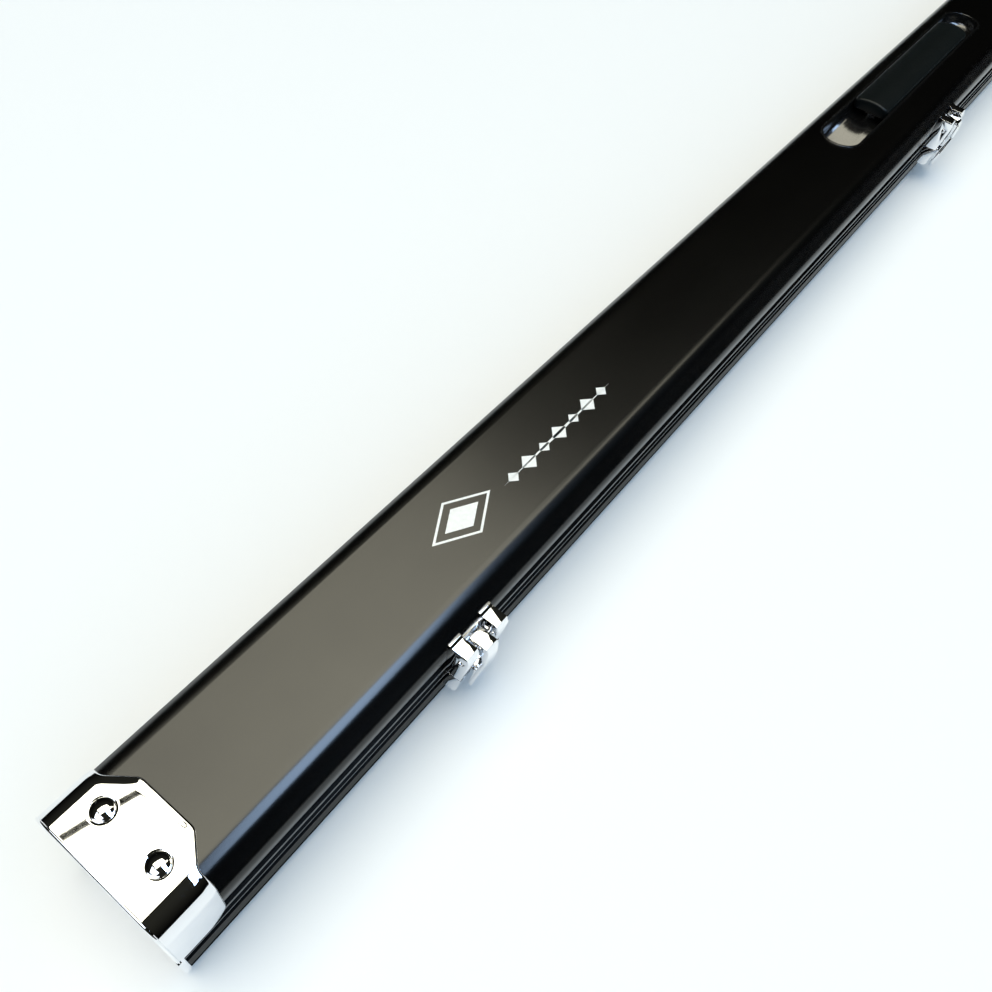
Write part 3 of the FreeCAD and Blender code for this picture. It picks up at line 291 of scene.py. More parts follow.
def black_anodised():
    """Dyed anodised aluminium: satin black, drawn lines along it, bellied sides with rims."""
    finish = Finish("black_anodised", Metallic=1.0, Specular_Tint=(0.9, 0.9, 0.9, 1))
    finish.tint(finish.noise(9), (0.047, 0.047, 0.047), (0.056, 0.056, 0.055))
    finish.rough(finish.noise(14, 6, stretch=(0.4, 1, 1)), 0.22, 0.26)
    height = finish.split()["Z"]
    step = finish.maths

    def ramp(low, high):
        """0 below low, and rising one for one up to high."""
        return step("MINIMUM", step("MAXIMUM", step("SUBTRACT", height, low), 0.0), high - low)

    def lean(low, high, slope):
        """Leans back more and more up to high, and evenly from there."""
        rise = ramp(low, high)
        curve = step("MULTIPLY", step("MULTIPLY", rise, rise), -slope / (2 * (high - low)))
        return step("ADD", curve, step("MULTIPLY", ramp(high, LID_TOP), -slope))

    relief = step("ADD", lean(*BELLY, BELLY_LEAN), lean(*BELLY_END, -BELLY_LEAN))
    for low, high, slope in RIMS:
        relief = step("ADD", relief, step("MULTIPLY", ramp(low, high), -slope))
    sides = finish.bump(relief, 1.0)
    finish.bump(finish.noise(900, 3, stretch=(0.012, 1, 1)), DRAWN_LINE_DEPTH, under=sides)
    return finish.material


def chrome():
    """Bright plate, very slightly wavy."""
    finish = Finish("bright_chrome", Metallic=1.0)
    finish.tint(finish.noise(60), (0.86, 0.87, 0.89), (0.93, 0.93, 0.94))
    finish.rough(finish.noise(240, 5), 0.02, 0.032)
    finish.bump(finish.noise(25, 1), 0.00001)
    return finish.material


def steel(name, tint, low, high):
    """Drawn and plated steel, a little uneven."""
    finish = Finish(name, Metallic=1.0)
    finish.tint(finish.noise(300), tuple(0.86 * c for c in tint), tint)
    finish.rough(finish.noise(700, 4), low, high)
    finish.bump(finish.noise(1500, 3), 0.000006)
    return finish.material


def tray_metal():
    """Gloss black pressing, a little wavy, with a floor that falls away towards its left end."""
    finish = Finish("tray_plate", IOR=1.9)
    finish.tint(finish.noise(80), (0.0020, 0.0020, 0.0022), (0.0040, 0.0040, 0.0040))
    finish.rough(finish.noise(300, 4), 0.18, 0.24)
    place = finish.split()
    past = finish.maths("SUBTRACT", -TRAY_FALL_START, place["X"])
    low = finish.maths("LESS_THAN", place["Z"], TRAY_FALL_TOP)
    fall = finish.maths("MAXIMUM", finish.maths("MULTIPLY", past, low), 0.0)
    square = finish.maths("MULTIPLY", fall, fall)
    floor = finish.bump(finish.maths("MULTIPLY", square, -0.5 / TRAY_FALL_RADIUS), 1.0)
    finish.bump(finish.noise(120, 2), TRAY_WAVE_HEIGHT, under=floor)
    return finish.material


def grip_plastic():
    """Black moulded plastic with a fine spark-eroded grain."""
    finish = Finish("grip_plastic", IOR=1.45, Specular_IOR_Level=0.28)
    finish.tint(finish.noise(40), (0.0016, 0.0030, 0.0032), (0.0030, 0.0046, 0.0048))
    finish.rough(finish.noise(500, 4), 0.36, 0.44)
    finish.bump(finish.noise(2600, 2), 0.00003)
    return finish.material


def flock():
    """Black flocked foam: short matt fibres with a soft sheen."""
    finish = Finish("flock", Sheen_Weight=0.35, Sheen_Roughness=0.5)
    finish.tint(finish.noise(900, 5), (0.010, 0.010, 0.012), (0.030, 0.030, 0.034))
    finish.rough(finish.noise(60), 0.85, 0.98)
    finish.bump(finish.noise(2200, 4), 0.0004)
    return finish.material


MATERIALS = {
    "black_aluminium": black_anodised(),
    "chrome": chrome(),
    "bright_steel": steel("bright_steel", (0.80, 0.80, 0.81), 0.10, 0.20),
    "hinge_steel": steel("hinge_steel", (0.56, 0.56, 0.57), 0.24, 0.36),
    "spring_steel": steel("spring_steel", (0.42, 0.42, 0.43), 0.22, 0.34),
    "tray_metal": tray_metal(),
    "grip_plastic": grip_plastic(),
    "liner_foam": flock(),
}
SLOT_OF = {row["node"]: row["material_slot"] for row in frame["record"]["subparts"]}


def dress_cad_nodes():
    """Every CAD node gets its slot's material, shown or not."""
    for name, node in frame["nodes"].items():
        node.data.materials.clear()
        node.data.materials.append(MATERIALS[SLOT_OF[name]])


# ---------------------------------------------------------------- mesh helpers

def add_piece(name, mesh, slot, body, *replaced):
    """Put a finished mesh on a body, in place of the CAD nodes that it stands for."""
    piece = bpy.data.objects.new(name, mesh)
    bpy.context.collection.objects.link(piece)
    mesh.materials.append(MATERIALS[slot])
    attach(piece, body)
    if replaced:
        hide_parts(*replaced)
    return piece


def finish_mesh(bm, name, smooth=True):
    bmesh.ops.remove_doubles(bm, verts=bm.verts, dist=0.002 * MM)
    bmesh.ops.recalc_face_normals(bm, faces=bm.faces)
    mesh = bpy.data.meshes.new(name)
    bm.to_mesh(mesh)
    bm.free()
    for polygon in mesh.polygons:
        polygon.use_smooth = smooth
    return mesh


def harden(piece, width, segments=3, angle=32):
    """Round the sharp edges and keep the flats flat."""
    bevel = piece.modifiers.new("rounding", "BEVEL")
    bevel.width = width
    bevel.segments = segments
    bevel.limit_method = "ANGLE"
    bevel.angle_limit = math.radians(angle)
    bevel.harden_normals = True
    return piece


def rounded_copy(node_name, slot, width, name):
    """The CAD node's own shape with its edges rounded, as a casting or a stamping has them."""
    bm = bmesh.new()
    bm.from_mesh(frame["nodes"][node_name].data)
    bmesh.ops.remove_doubles(bm, verts=bm.verts, dist=0.001 * MM)
    bmesh.ops.dissolve_limit(bm, angle_limit=math.radians(0.6), verts=bm.verts, edges=bm.edges)
    mesh = finish_mesh(bm, name)
    piece = add_piece(name, mesh, slot, frame["nodes"][node_name]["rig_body"], node_name)
    return harden(piece, width, segments=2)


def wall_between(outer, inner, keep=None):
    """A closed wall between two grids of points that face each other.

    keep(i, j) says which cells are made.
    """
    rows, columns = outer.shape[:2]
    bm = bmesh.new()
    sheets = [[[bm.verts.new(point) for point in row] for row in grid] for grid in (outer, inner)]
    cells = {(i, j) for i in range(rows - 1) for j in range(columns - 1)
             if keep is None or keep(i, j)}
    for i, j in sorted(cells):
        ring = ((i, j), (i + 1, j), (i + 1, j + 1), (i, j + 1))
        bm.faces.new([sheets[0][a][b] for a, b in ring])
        bm.faces.new([sheets[1][a][b] for a, b in reversed(ring)])
        beyond = ((i, j - 1), (i + 1, j), (i, j + 1), (i - 1, j))
        for side, neighbour in enumerate(beyond):
            if neighbour not in cells:
                (a, b), (c, d) = ring[side], ring[(side + 1) % 4]
                bm.faces.new([sheets[0][c][d], sheets[0][a][b], sheets[1][a][b], sheets[1][c][d]])
    return bm


def ease(share):
    share = np.clip(share, 0, 1)
    return share * share * (3 - 2 * share)


def lathe(bm, profile, place, axis, segments):
    """Turn (radius, height) points round an axis."""
    turn = Vector(axis).to_track_quat("Z", "Y")
    rings = []
    for radius, height in profile:
        count = 1 if radius == 0 else segments
        ring = []
        for k in range(count):
            angle = math.tau * k / segments
            spot = Vector((radius * math.cos(angle), radius * math.sin(angle), height))
            ring.append(bm.verts.new(Vector(place) + turn @ spot))
        rings.append(ring)
    for low, high in zip(rings, rings[1:]):
        for k in range(segments):
            corners = [low[k % len(low)], low[(k + 1) % len(low)],
                       high[(k + 1) % len(high)], high[k % len(high)]]
            bm.faces.new(list(dict.fromkeys(corners)))


def dome_profile(head, dome, shank, grip, tail):
    """A set rivet from the crown of its head to its upset end."""
    ball = (head * head + dome * dome) / (2 * dome)
    edge = 0.12 * dome
    sweep = math.asin(head / ball)
    points = [(ball * math.sin(sweep * k / 9), dome - ball * (1 - math.cos(sweep * k / 9)))
              for k in range(9)]
    points += [(head - 0.2 * edge, 1.6 * edge), (head, edge), (head - 0.3 * edge, 0), (shank, 0)]
    points += [(shank, -grip), (shank + 0.9 * tail, -grip),
               (shank + 0.9 * tail, -grip - 0.7 * tail),
               (shank + 0.5 * tail, -grip - tail), (0, -grip - tail)]
    return [(radius * MM, height * MM) for radius, height in points]


# ---------------------------------------------------------------- end caps and rivets

CAP_SHEET = 1.5 * MM
CAP_SIDE = 24.5 * MM
CAP_FOOT_CUT = 3.2 * MM
CAP_SHOULDER = 10 * MM
CAP_END_ROUND = 1.3 * MM
CAP_RIM_ROUND = 0.9 * MM
CAP_BORDER = 4.2 * MM
CAP_BORDER_DROP = 0.5 * MM
CAP_CROWN = 0.35 * MM
CAP_LENGTH_CROWN = 0.2 * MM
TONGUE_TIP = 14.4 * MM
TONGUE_ROOT = 25.8 * MM
RIVET_INSET = 16.8 * MM
RIVET_OFFSET = 14.7 * MM
DIMPLE_RADIUS = 4.9 * MM
DIMPLE_DEPTH = 0.35 * MM
# Head radius, dome, shank radius, grip and tail, in millimetres.
CAP_RIVET = (4.7, 1.85, 2.4, 3.4, 0.8)
LATCH_RIVET = (2.2, 1.1, 1.2, 3.1, 0.8)
HINGE_RIVET = (2.2, 1.1, 1.2, 3.0, 0.8)
CAP_RIVET_HEAD = 1.9 * MM
SMALL_RIVET_HEAD = 1.1 * MM
SMALL_RIVET_RADIUS = 2.2 * MM
HINGE_RIVETS = 14
LATCH_RIVET_OFFSET = 3.2 * MM


def arch_path(foot, top, half, shoulder):
    """Points (across, up) and outward directions along an arch, finer on its top."""
    spring = top - shoulder
    upright = np.linspace(foot, spring, 20)[:-1]
    flat = np.linspace(shoulder - half, half - shoulder, 100)
    turn = np.linspace(0, math.pi / 2, 21)[:-1]
    across, up, out_y, out_z = [], [], [], []
    for level in upright:
        across.append(-half)
        up.append(level)
        out_y.append(-1)
        out_z.append(0)
    for angle in turn:
        across.append(shoulder - half - shoulder * math.cos(angle))
        up.append(spring + shoulder * math.sin(angle))
        out_y.append(-math.cos(angle))
        out_z.append(math.sin(angle))
    for place in flat:
        across.append(place)
        up.append(top)
        out_y.append(0)
        out_z.append(1)
    side = [np.array(values) for values in (across, up, out_y, out_z)]
    flips = (-1, 1, -1, 1)
    ends = len(upright) + len(turn)
    return [np.concatenate([values, flip * values[:ends][::-1]])
            for values, flip in zip(side, flips)]


def cap_reach(across, up, foot, tongue):
    """How far the cap runs along the case at each point of the arch, with soft corners."""
    def sharp(place):
        slope = (TONGUE_ROOT - abs(place)) / (TONGUE_ROOT - TONGUE_TIP)
        return CAP_SIDE + (tongue - CAP_SIDE) * np.clip(slope, 0, 1)
    blur = np.linspace(-2.4, 2.4, 13) * MM
    weight = 1 - np.abs(blur) / (2.9 * MM)
    reach = sum(w * sharp(across + shift) for w, shift in zip(weight, blur)) / weight.sum()
    return reach - np.clip(CAP_FOOT_CUT - (up - foot), 0, None)


def make_lid_cap(side):
    """Stamped cap: pillowed sheet with a rolled rim, a rounded end and a dimple at each rivet."""
    node = f"lid_end_cap_{side}"
    low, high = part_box(node)
    foot, top = low.z, high.z - CAP_SHEET
    across, up, out_y, out_z = arch_path(foot, top, HALF_WIDTH, CAP_SHOULDER)
    reach = cap_reach(across, up, foot, high.x - low.x)
    slope = np.gradient(reach) / np.maximum(np.hypot(np.gradient(across), np.gradient(up)), 1e-9)
    foot_y = np.linspace(-1, 1, len(across)) * (HALF_WIDTH + CAP_SHEET)
    outer, inner = [], []

    def sheet_row(along, lift):
        return np.stack([along, across + lift * out_y, up + lift * out_z], axis=1)

    for share in np.linspace(0, 1, 9)[:-1]:
        for rows, end, lift in ((outer, 0, CAP_SHEET - CAP_END_ROUND), (inner, CAP_SHEET, 0)):
            rim = sheet_row(np.full(len(across), end), lift)
            base = np.stack([np.full(len(across), end), foot_y, np.full(len(across), foot)],
                            axis=1)
            rows.append(base + (rim - base) * ease(share))
    for angle in np.linspace(0, math.pi / 2, 8)[:-1]:
        along = CAP_END_ROUND * (1 - math.cos(angle))
        lift = CAP_SHEET - CAP_END_ROUND * (1 - math.sin(angle))
        outer.append(sheet_row(np.full(len(across), along), lift))
        inner.append(sheet_row(np.full(len(across), CAP_SHEET + 0.3 * along), 0))
    start = CAP_END_ROUND
    close_rows = 1 - 0.05 * (1 - np.linspace(0.1, 1, 9)) ** 2
    for share in np.concatenate([np.linspace(0, 0.95, 72), close_rows]):
        along = start + (reach - start) * share
        gap = (reach - along) / np.hypot(1, slope)
        lift = CAP_SHEET - CAP_BORDER_DROP * (1 - ease(gap / CAP_BORDER))
        lift = lift - CAP_CROWN * np.minimum(np.abs(across) / HALF_WIDTH, 1) ** 2
        lift = lift - CAP_LENGTH_CROWN * (1 - along / RIVET_INSET) ** 2
        bend = np.clip(1 - gap / CAP_RIM_ROUND, 0, 1)
        lift = lift - CAP_RIM_ROUND * (1 - np.sqrt(1 - bend ** 2))
        for sign in (-1, 1):
            away = np.hypot(along - RIVET_INSET, across - sign * RIVET_OFFSET)
            lift = lift - DIMPLE_DEPTH * (1 - ease((away - DIMPLE_RADIUS + 0.2 * MM) / (0.7 * MM)))
        lift = np.maximum(lift, 0.02 * MM)
        outer.append(sheet_row(along, lift))
        inner.append(sheet_row(np.maximum(along, CAP_SHEET), 0))
    turn = 1 if side == "left" else -1
    grids = []
    for rows in (outer, inner):
        grid = np.array(rows)
        grid[..., 0] = turn * (grid[..., 0] - END_X)
        grid[..., 1] = CENTRE_Y + grid[..., 1]
        grids.append(grid)
    mesh = finish_mesh(wall_between(*grids), f"cap_{side}")
    piece = add_piece(f"cap_{side}", mesh, "chrome", "lid", node)
    return harden(piece, 0.15 * MM, segments=2, angle=50)


def make_rivets():
    """Every rivet, turned round its own axis."""
    def group(name, node, slot, body, profile, spots, axis, segments):
        bm = bmesh.new()
        for spot in spots:
            lathe(bm, profile, spot, axis, segments)
        add_piece(name, finish_mesh(bm, name), slot, body, node)

    cap_profile = dome_profile(*CAP_RIVET)
    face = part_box("cap_rivets")[1].z - CAP_RIVET_HEAD
    spots = [(end * (END_X - RIVET_INSET), CENTRE_Y + side * RIVET_OFFSET, face)
             for end in (-1, 1) for side in (-1, 1)]
    group("domed_cap_rivets", "cap_rivets", "chrome", "lid", cap_profile, spots, (0, 0, 1), 56)
    small = dome_profile(*LATCH_RIVET)
    for name, body in (("bracket_rivets", "lid"), ("catch_rivets", "base")):
        low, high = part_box(name)
        level = (low.z + high.z) / 2
        spots = [(x, low.y + SMALL_RIVET_HEAD, level) for x in latch_rivet_places()]
        group(f"domed_{name}", name, "bright_steel", body, small, spots, (0, -1, 0), 28)
    back = dome_profile(*HINGE_RIVET)
    for name, body in (("hinge_rivets_lid", "lid"), ("hinge_rivets_base", "base")):
        low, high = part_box(name)
        level = (low.z + high.z) / 2
        span = high.x - SMALL_RIVET_RADIUS
        spots = [(x, high.y - SMALL_RIVET_HEAD, level)
                 for x in np.linspace(-span, span, HINGE_RIVETS)]
        group(f"domed_{name}", name, "bright_steel", body, back, spots, (0, 1, 0), 28)


def latch_rivet_places():
    """Where the rivets are along the case, two at each latch."""
    middles = [sum(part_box(f"latch_pin_{name}"), Vector()).x / 2 for name in STATIONS]
    return [x + side * LATCH_RIVET_OFFSET for x in middles for side in (-1, 1)]


def make_hard_pieces():
    """Latches, base caps and small stampings with their edges rounded."""
    for station in STATIONS:
        rounded_copy(f"latch_bracket_{station}", "chrome", 0.35 * MM, f"bracket_{station}")
        rounded_copy(f"latch_catch_{station}", "chrome", 0.35 * MM, f"catch_{station}")
        rounded_copy(f"latch_lever_{station}", "chrome", 0.45 * MM, f"lever_{station}")
        rounded_copy(f"latch_pin_{station}", "bright_steel", 0.2 * MM, f"pin_{station}")
    for side in SIDES:
        rounded_copy(f"base_end_cap_{side}", "chrome", 0.6 * MM, f"base_cap_{side}")
    rounded_copy("handle_tray", "tray_metal", 0.22 * MM, "tray")


# ---------------------------------------------------------------- handle grip

GRIP_CORNER = 4.0 * MM
GRIP_ROUND = 1.5 * MM
GRIP_CROWN = 2.6 * MM
GRIP_FOOT = 3.7 * MM
BOSS_RADIUS = 5.0 * MM
BOSS_BORE = 3.1 * MM
# Inset and height of the rings on the underside and its soft edge, in millimetres.
GRIP_UNDERSIDE = ((12.0, 0), (6.0, 0), (1.0, 0), (0.3, 0.3), (0.0, 1.0))


def plan_ring(half_length, half_width, corner):
    """Points round a rectangle with rounded corners, always the same number."""
    points = []
    for quarter, (sx, sy) in enumerate(((1, 1), (-1, 1), (-1, -1), (1, -1))):
        turn = quarter * math.pi / 2 + np.linspace(0, math.pi / 2, 9)
        centre = (sx * (half_length - corner), sy * (half_width - corner))
        arc = np.stack([centre[0] + corner * np.cos(turn),
                        centre[1] + corner * np.sin(turn)], axis=1)
        if quarter % 2:
            goal = (sx * half_length, sx * (half_width - corner))
            count = 12
        else:
            goal = (sx * (corner - half_length), sy * half_width)
            count = 60
        run = arc[-1] + np.linspace(0, 1, count + 1)[1:-1, None] * (np.array(goal) - arc[-1])
        points += [arc, run]
    return np.concatenate(points)


def make_grip():
    """Moulded grip: crowned top, soft edges, flat underside and a boss round each leg."""
    low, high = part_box("handle_grip")
    middle = (low + high) / 2
    half_length = (high.x - low.x) / 2
    half_width = (high.y - low.y) / 2
    bm = bmesh.new()

    def crown(points, drop):
        return high.z - GRIP_CROWN * (points[:, 1] / half_width) ** 2 - drop

    rings = []
    for inset, level in GRIP_UNDERSIDE:
        points = plan_ring(half_length - inset * MM, half_width - inset * MM,
                           max(GRIP_CORNER - inset * MM, 0.2 * MM))
        height = np.full(len(points), low.z + GRIP_FOOT + level * MM)
        rings.append(np.column_stack([points, height]))
    for angle in np.linspace(0, math.pi / 2, 8):
        inset = GRIP_ROUND * (1 - math.cos(angle))
        points = plan_ring(half_length - inset, half_width - inset, GRIP_CORNER - inset)
        rings.append(np.column_stack([points, crown(points, GRIP_ROUND * (1 - math.sin(angle)))]))
    for inset in np.linspace(GRIP_ROUND + 1.2 * MM, half_width - 0.1 * MM, 9):
        corner = max(GRIP_CORNER - inset, 0.05 * MM)
        points = plan_ring(half_length - inset, half_width - inset, corner)
        rings.append(np.column_stack([points, crown(points, 0)]))
    made = [[bm.verts.new((middle.x + x, middle.y + y, z)) for x, y, z in ring] for ring in rings]
    for inner, outer in zip(made, made[1:]):
        for k in range(len(inner)):
            near = (k + 1) % len(inner)
            bm.faces.new([inner[k], inner[near], outer[near], outer[k]])
    bm.faces.new(list(reversed(made[0])))
    bm.faces.new(made[-1])
    for side in SIDES:
        leg_low, leg_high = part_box(f"handle_leg_{side}")
        spot = ((leg_low.x + leg_high.x) / 2, middle.y, low.z)
        wall = [(BOSS_BORE, 0), (BOSS_RADIUS - 0.4 * MM, 0), (BOSS_RADIUS, 0.4 * MM),
                (BOSS_RADIUS, GRIP_FOOT + 0.5 * MM), (BOSS_BORE, GRIP_FOOT + 0.5 * MM),
                (BOSS_BORE, 0)]
        lathe(bm, wall, spot, (0, 0, 1), 32)
    add_piece("grip", finish_mesh(bm, "grip"), "grip_plastic", "handle", "handle_grip")


# ---------------------------------------------------------------- foam liners

LIP = 1.6 * MM  # round of every upper edge of the foam
LINER_ROUND = 7.0 * MM
CHANNEL_END = 10.0 * MM
# Middle, radius and floor of the cue's channel and the extension's.
CHANNELS = ((-9.0 * MM, 15.5 * MM, 4.0 * MM), (18.5 * MM, 8.5 * MM, 10.5 * MM))
LID_LINER_SKIRT = 3.0 * MM
LID_LINER_ROOF = 5.0 * MM
# Half length, front and back of the opening for the tray.
TRAY_WINDOW = (137.0 * MM, -11.0 * MM, 23.0 * MM)
# Waves along, waves across and phase.
FOAM_WAVES = ((31, 140, 0.0), (53, -210, 1.7), (97, 330, 0.6), (171, 90, 2.9))


def soft(along, across, size):
    """Hand-laid unevenness, the same on every run."""
    return size / 2 * sum(np.sin(a * along + b * across + c) for a, b, c in FOAM_WAVES) / 2


def liner_section(low, high):
    """Points (across, up) round the base liner's section, and which are inside a channel."""
    half = (high.y - low.y) / 2
    points, inside = [], []

    def add(across, up, channel=False):
        points.append((across, up))
        inside.append(channel)

    for angle in np.linspace(0, math.pi / 2, 10):
        add(-half + LINER_ROUND * (1 - math.sin(angle)),
            low.z + LINER_ROUND * (1 - math.cos(angle)))
    for level in np.linspace(low.z + LINER_ROUND, high.z - LIP, 6)[1:-1]:
        add(-half, level)
    for angle in np.linspace(0, math.pi / 2, 6):
        add(-half + LIP * (1 - math.cos(angle)), high.z - LIP * (1 - math.sin(angle)))
    for middle, radius, floor in CHANNELS:
        centre_up = floor + radius
        start = middle - radius - LIP
        for across in np.linspace(points[-1][0], start, 6)[1:-1]:
            add(across, high.z)
        for angle in np.linspace(0, math.pi / 2, 7):
            add(start + LIP * math.sin(angle), high.z - LIP * (1 - math.cos(angle)), True)
        for level in np.linspace(high.z - LIP, centre_up, 5)[1:-1]:
            add(middle - radius, level, True)
        for angle in np.linspace(0, math.pi, 33):
            add(middle - radius * math.cos(angle), centre_up - radius * math.sin(angle), True)
        for level in np.linspace(centre_up, high.z - LIP, 5)[1:-1]:
            add(middle + radius, level, True)
        for angle in np.linspace(0, math.pi / 2, 7):
            add(middle + radius + LIP * (1 - math.cos(angle)),
                high.z - LIP * (1 - math.sin(angle)), True)
    for across in np.linspace(points[-1][0], half - LIP, 6)[1:-1]:
        add(across, high.z)
    for angle in np.linspace(0, math.pi / 2, 6):
        add(half - LIP * (1 - math.sin(angle)), high.z - LIP * (1 - math.cos(angle)))
    for level in np.linspace(high.z - LIP, low.z + LINER_ROUND, 6)[1:-1]:
        add(half, level)
    for angle in np.linspace(0, math.pi / 2, 10):
        add(half - LINER_ROUND * (1 - math.cos(angle)),
            low.z + LINER_ROUND * (1 - math.sin(angle)))
    return np.array(points), np.array(inside)


def make_base_liner():
    """Flocked foam with two channels whose lips are soft and whose ends are rounded."""
    low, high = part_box("base_liner")
    section, inside = liner_section(low, high)
    depth = high.z - low.z
    wall = high.x - CHANNEL_END
    stations = [(high.x - LIP * (1 - math.sin(t)), LIP * (1 - math.cos(t)), 0)
                for t in np.linspace(math.pi / 2, 0, 6)]
    stations += [(x, 0, 0) for x in (high.x - 3 * MM, wall + 3.5 * MM)]
    stations += [(wall + LIP * (1 - math.sin(t)), 0, LIP * (1 - math.cos(t)))
                 for t in np.linspace(0, math.pi / 2, 6)]
    stations += [(wall, 0, limit * MM) for limit in (4, 8, 12, 16, 20)]
    stations += [(wall - 0.2 * MM, 0, 22 * MM), (wall - 1 * MM, 0, depth)]
    inner = [(x, 0, depth) for x in np.linspace(wall - 6 * MM, 6 * MM - wall, 230)]
    ends = [(-x, drop, limit) for x, drop, limit in reversed(stations)]
    centre_y = (low.y + high.y) / 2
    bm = bmesh.new()
    rings = []
    for along, drop, limit in stations + inner + ends:
        across, up = section[:, 0].copy(), section[:, 1].copy()
        up = np.where(inside, np.maximum(up, high.z - max(limit, 0)), up)
        up = np.minimum(up, high.z - drop)
        give = np.where(inside & (limit >= depth), soft(along, across, 0.35 * MM), 0)
        land = np.where(~inside & (up > high.z - 0.1 * MM),
                        soft(along, across, 0.15 * MM) - 0.15 * MM, 0)
        rings.append([bm.verts.new((along, centre_y + y, z))
                      for y, z in zip(across, up + give * (up < high.z - 3 * MM) + land)])
    for first, second in zip(rings, rings[1:]):
        for k in range(len(first)):
            near = (k + 1) % len(first)
            bm.faces.new([first[k], first[near], second[near], second[k]])
    bm.faces.new(list(reversed(rings[0])))
    bm.faces.new(rings[-1])
    mesh = finish_mesh(bm, "base_foam")
    piece = add_piece("base_foam", mesh, "liner_foam", "base", "base_liner")


def make_lid_liner():
    """Flocked foam lining of the lid, cut out round the handle's tray."""
    low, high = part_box("lid_liner")
    half = (high.y - low.y) / 2
    reach, window_low, window_high = TRAY_WINDOW
    outer_y, outer_z, inner_y, inner_z = [], [], [], []

    def add(a, b, c, d):
        outer_y.append(a)
        outer_z.append(b)
        inner_y.append(c)
        inner_z.append(d)

    inner_half = half - LID_LINER_SKIRT
    inner_round = LINER_ROUND - LID_LINER_SKIRT
    inner_top = high.z - LID_LINER_ROOF
    for share in np.linspace(0, 1, 8)[:-1]:
        add(-half, low.z + share * (high.z - LINER_ROUND - low.z),
            -inner_half, low.z + share * (inner_top - inner_round - low.z))
    for angle in np.linspace(0, math.pi / 2, 9)[:-1]:
        inward, down = 1 - math.cos(angle), 1 - math.sin(angle)
        add(LINER_ROUND * inward - half, high.z - LINER_ROUND * down,
            inner_round * inward - inner_half, inner_top - inner_round * down)
    flat = sorted({*np.linspace(LINER_ROUND - half, half - LINER_ROUND, 17),
                   window_low, window_high})
    flat = [y for y in flat if min(abs(y - window_low), abs(y - window_high)) > 1.2 * MM
            or y in (window_low, window_high)]
    for y in flat:
        add(y, high.z, y, inner_top)
    right = len(outer_y) - len(flat)
    for values, flip in ((outer_y, -1), (outer_z, 1), (inner_y, -1), (inner_z, 1)):
        values += [flip * value for value in values[:right][::-1]]
    stations = np.unique(np.concatenate([
        np.linspace(low.x, -reach, 90), np.linspace(-reach, reach, 40),
        np.linspace(reach, high.x, 90)]))
    outer, inner = [], []
    for along in stations:
        outer.append([(along, y, z) for y, z in zip(outer_y, outer_z)])
        inner.append([(along, y, z) for y, z in zip(inner_y, inner_z)])
    outer, inner = np.array(outer), np.array(inner)
    fade = ease((inner[..., 2] - low.z) / (6 * MM))
    edge = np.minimum(np.abs(np.abs(inner[..., 0]) - reach), 8 * MM) / (8 * MM)
    inner[..., 2] -= (0.2 * MM + soft(inner[..., 0], inner[..., 1], 0.3 * MM)) * fade * edge
    for grid in (outer, inner):
        grid[..., 1] += CENTRE_Y

    def keep(i, j):
        along = (outer[i, j, 0] + outer[i + 1, j, 0]) / 2
        across = (outer[i, j, 1] + outer[i, j + 1, 1]) / 2 - CENTRE_Y
        return (abs(along) > reach or not window_low < across < window_high
                or outer[i, j, 2] < high.z - 1 * MM)

    mesh = finish_mesh(wall_between(outer, inner, keep), "lid_foam")
    piece = add_piece("lid_foam", mesh, "liner_foam", "lid", "lid_liner")
    harden(piece, 0.8 * MM, angle=50)


# ---------------------------------------------------------------- printed ornament

# All in millimetres, along the case and across it.
LOZENGE_PLACE = (-549, -0.5)
LOZENGE_FRAME = (21, 12)
LOZENGE_STROKE = 0.11
LOZENGE_CORE = (12, 6.8)
CHAIN_PLACE = (-477, -4)
CHAIN_HALF_LENGTH = 45
CHAIN_HALF_WIDTH = 0.7
CHAIN_PITCH = 12.5
DIAMOND_SIZES = (4.6, 3.2)
DIAMOND_STRETCH = 1.15


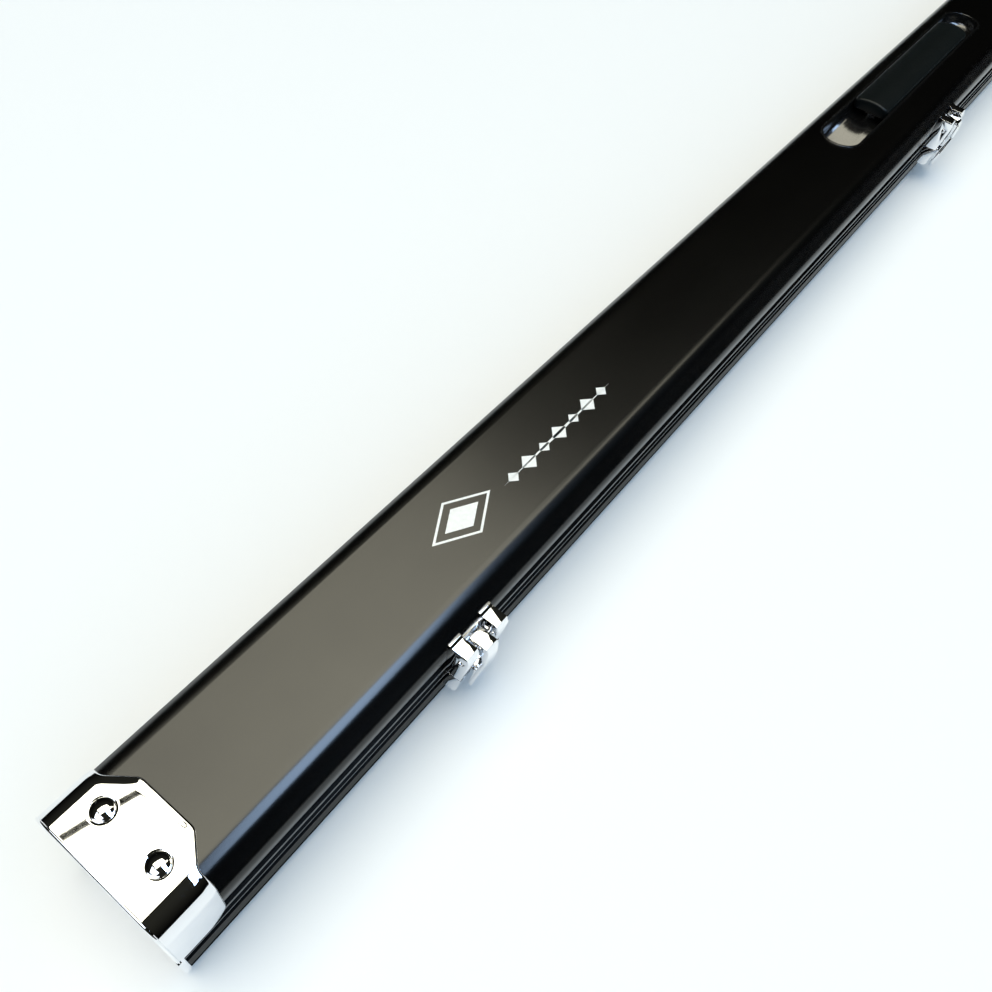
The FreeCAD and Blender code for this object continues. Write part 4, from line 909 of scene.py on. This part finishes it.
def make_ornament():
    """A plain printed lozenge and a tapered line with seven small diamonds, in white."""
    bm = bmesh.new()
    low = LID_TOP - 0.02 * MM
    high = LID_TOP + 0.03 * MM

    def prism(points):
        levels = [[bm.verts.new((x * MM, CENTRE_Y + y * MM, z)) for x, y in points]
                  for z in (low, high)]
        bm.faces.new(list(reversed(levels[0])))
        bm.faces.new(levels[1])
        for k in range(len(points)):
            near = (k + 1) % len(points)
            bm.faces.new([levels[0][k], levels[0][near], levels[1][near], levels[1][k]])

    def lozenge(x, y, long, wide):
        prism([(x - long, y), (x, y - wide), (x + long, y), (x, y + wide)])

    def lozenge_outline(x, y, long, wide, stroke):
        corners = [(-1, 0), (0, -1), (1, 0), (0, 1)]
        inner = 1 - stroke
        for k in range(4):
            (a, b), (c, d) = corners[k], corners[(k + 1) % 4]
            prism([(x + a * long, y + b * wide), (x + c * long, y + d * wide),
                   (x + c * long * inner, y + d * wide * inner),
                   (x + a * long * inner, y + b * wide * inner)])

    lozenge_outline(*LOZENGE_PLACE, *LOZENGE_FRAME, LOZENGE_STROKE)
    lozenge(*LOZENGE_PLACE, *LOZENGE_CORE)
    lozenge(*CHAIN_PLACE, CHAIN_HALF_LENGTH, CHAIN_HALF_WIDTH)
    for step in range(-3, 4):
        size = DIAMOND_SIZES[step % 2]
        lozenge(CHAIN_PLACE[0] + CHAIN_PITCH * step, CHAIN_PLACE[1],
                DIAMOND_STRETCH * size, size)
    finish = Finish("white_print", Roughness=0.42)
    finish.tint(finish.noise(500), (0.80, 0.80, 0.78), (0.90, 0.90, 0.88))
    finish.rough(finish.noise(900), 0.36, 0.48)
    mesh = finish_mesh(bm, "ornament", smooth=False)
    piece = bpy.data.objects.new("ornament", mesh)
    bpy.context.collection.objects.link(piece)
    mesh.materials.append(finish.material)
    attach(piece, "lid")


bpy.context.scene.view_settings.view_transform = "Standard"
make_camera()
make_floor()
make_world()
make_lights()
dress_cad_nodes()
for cap_side in SIDES:
    make_lid_cap(cap_side)
make_rivets()
make_hard_pieces()
make_grip()
make_base_liner()
make_lid_liner()
make_ornament()
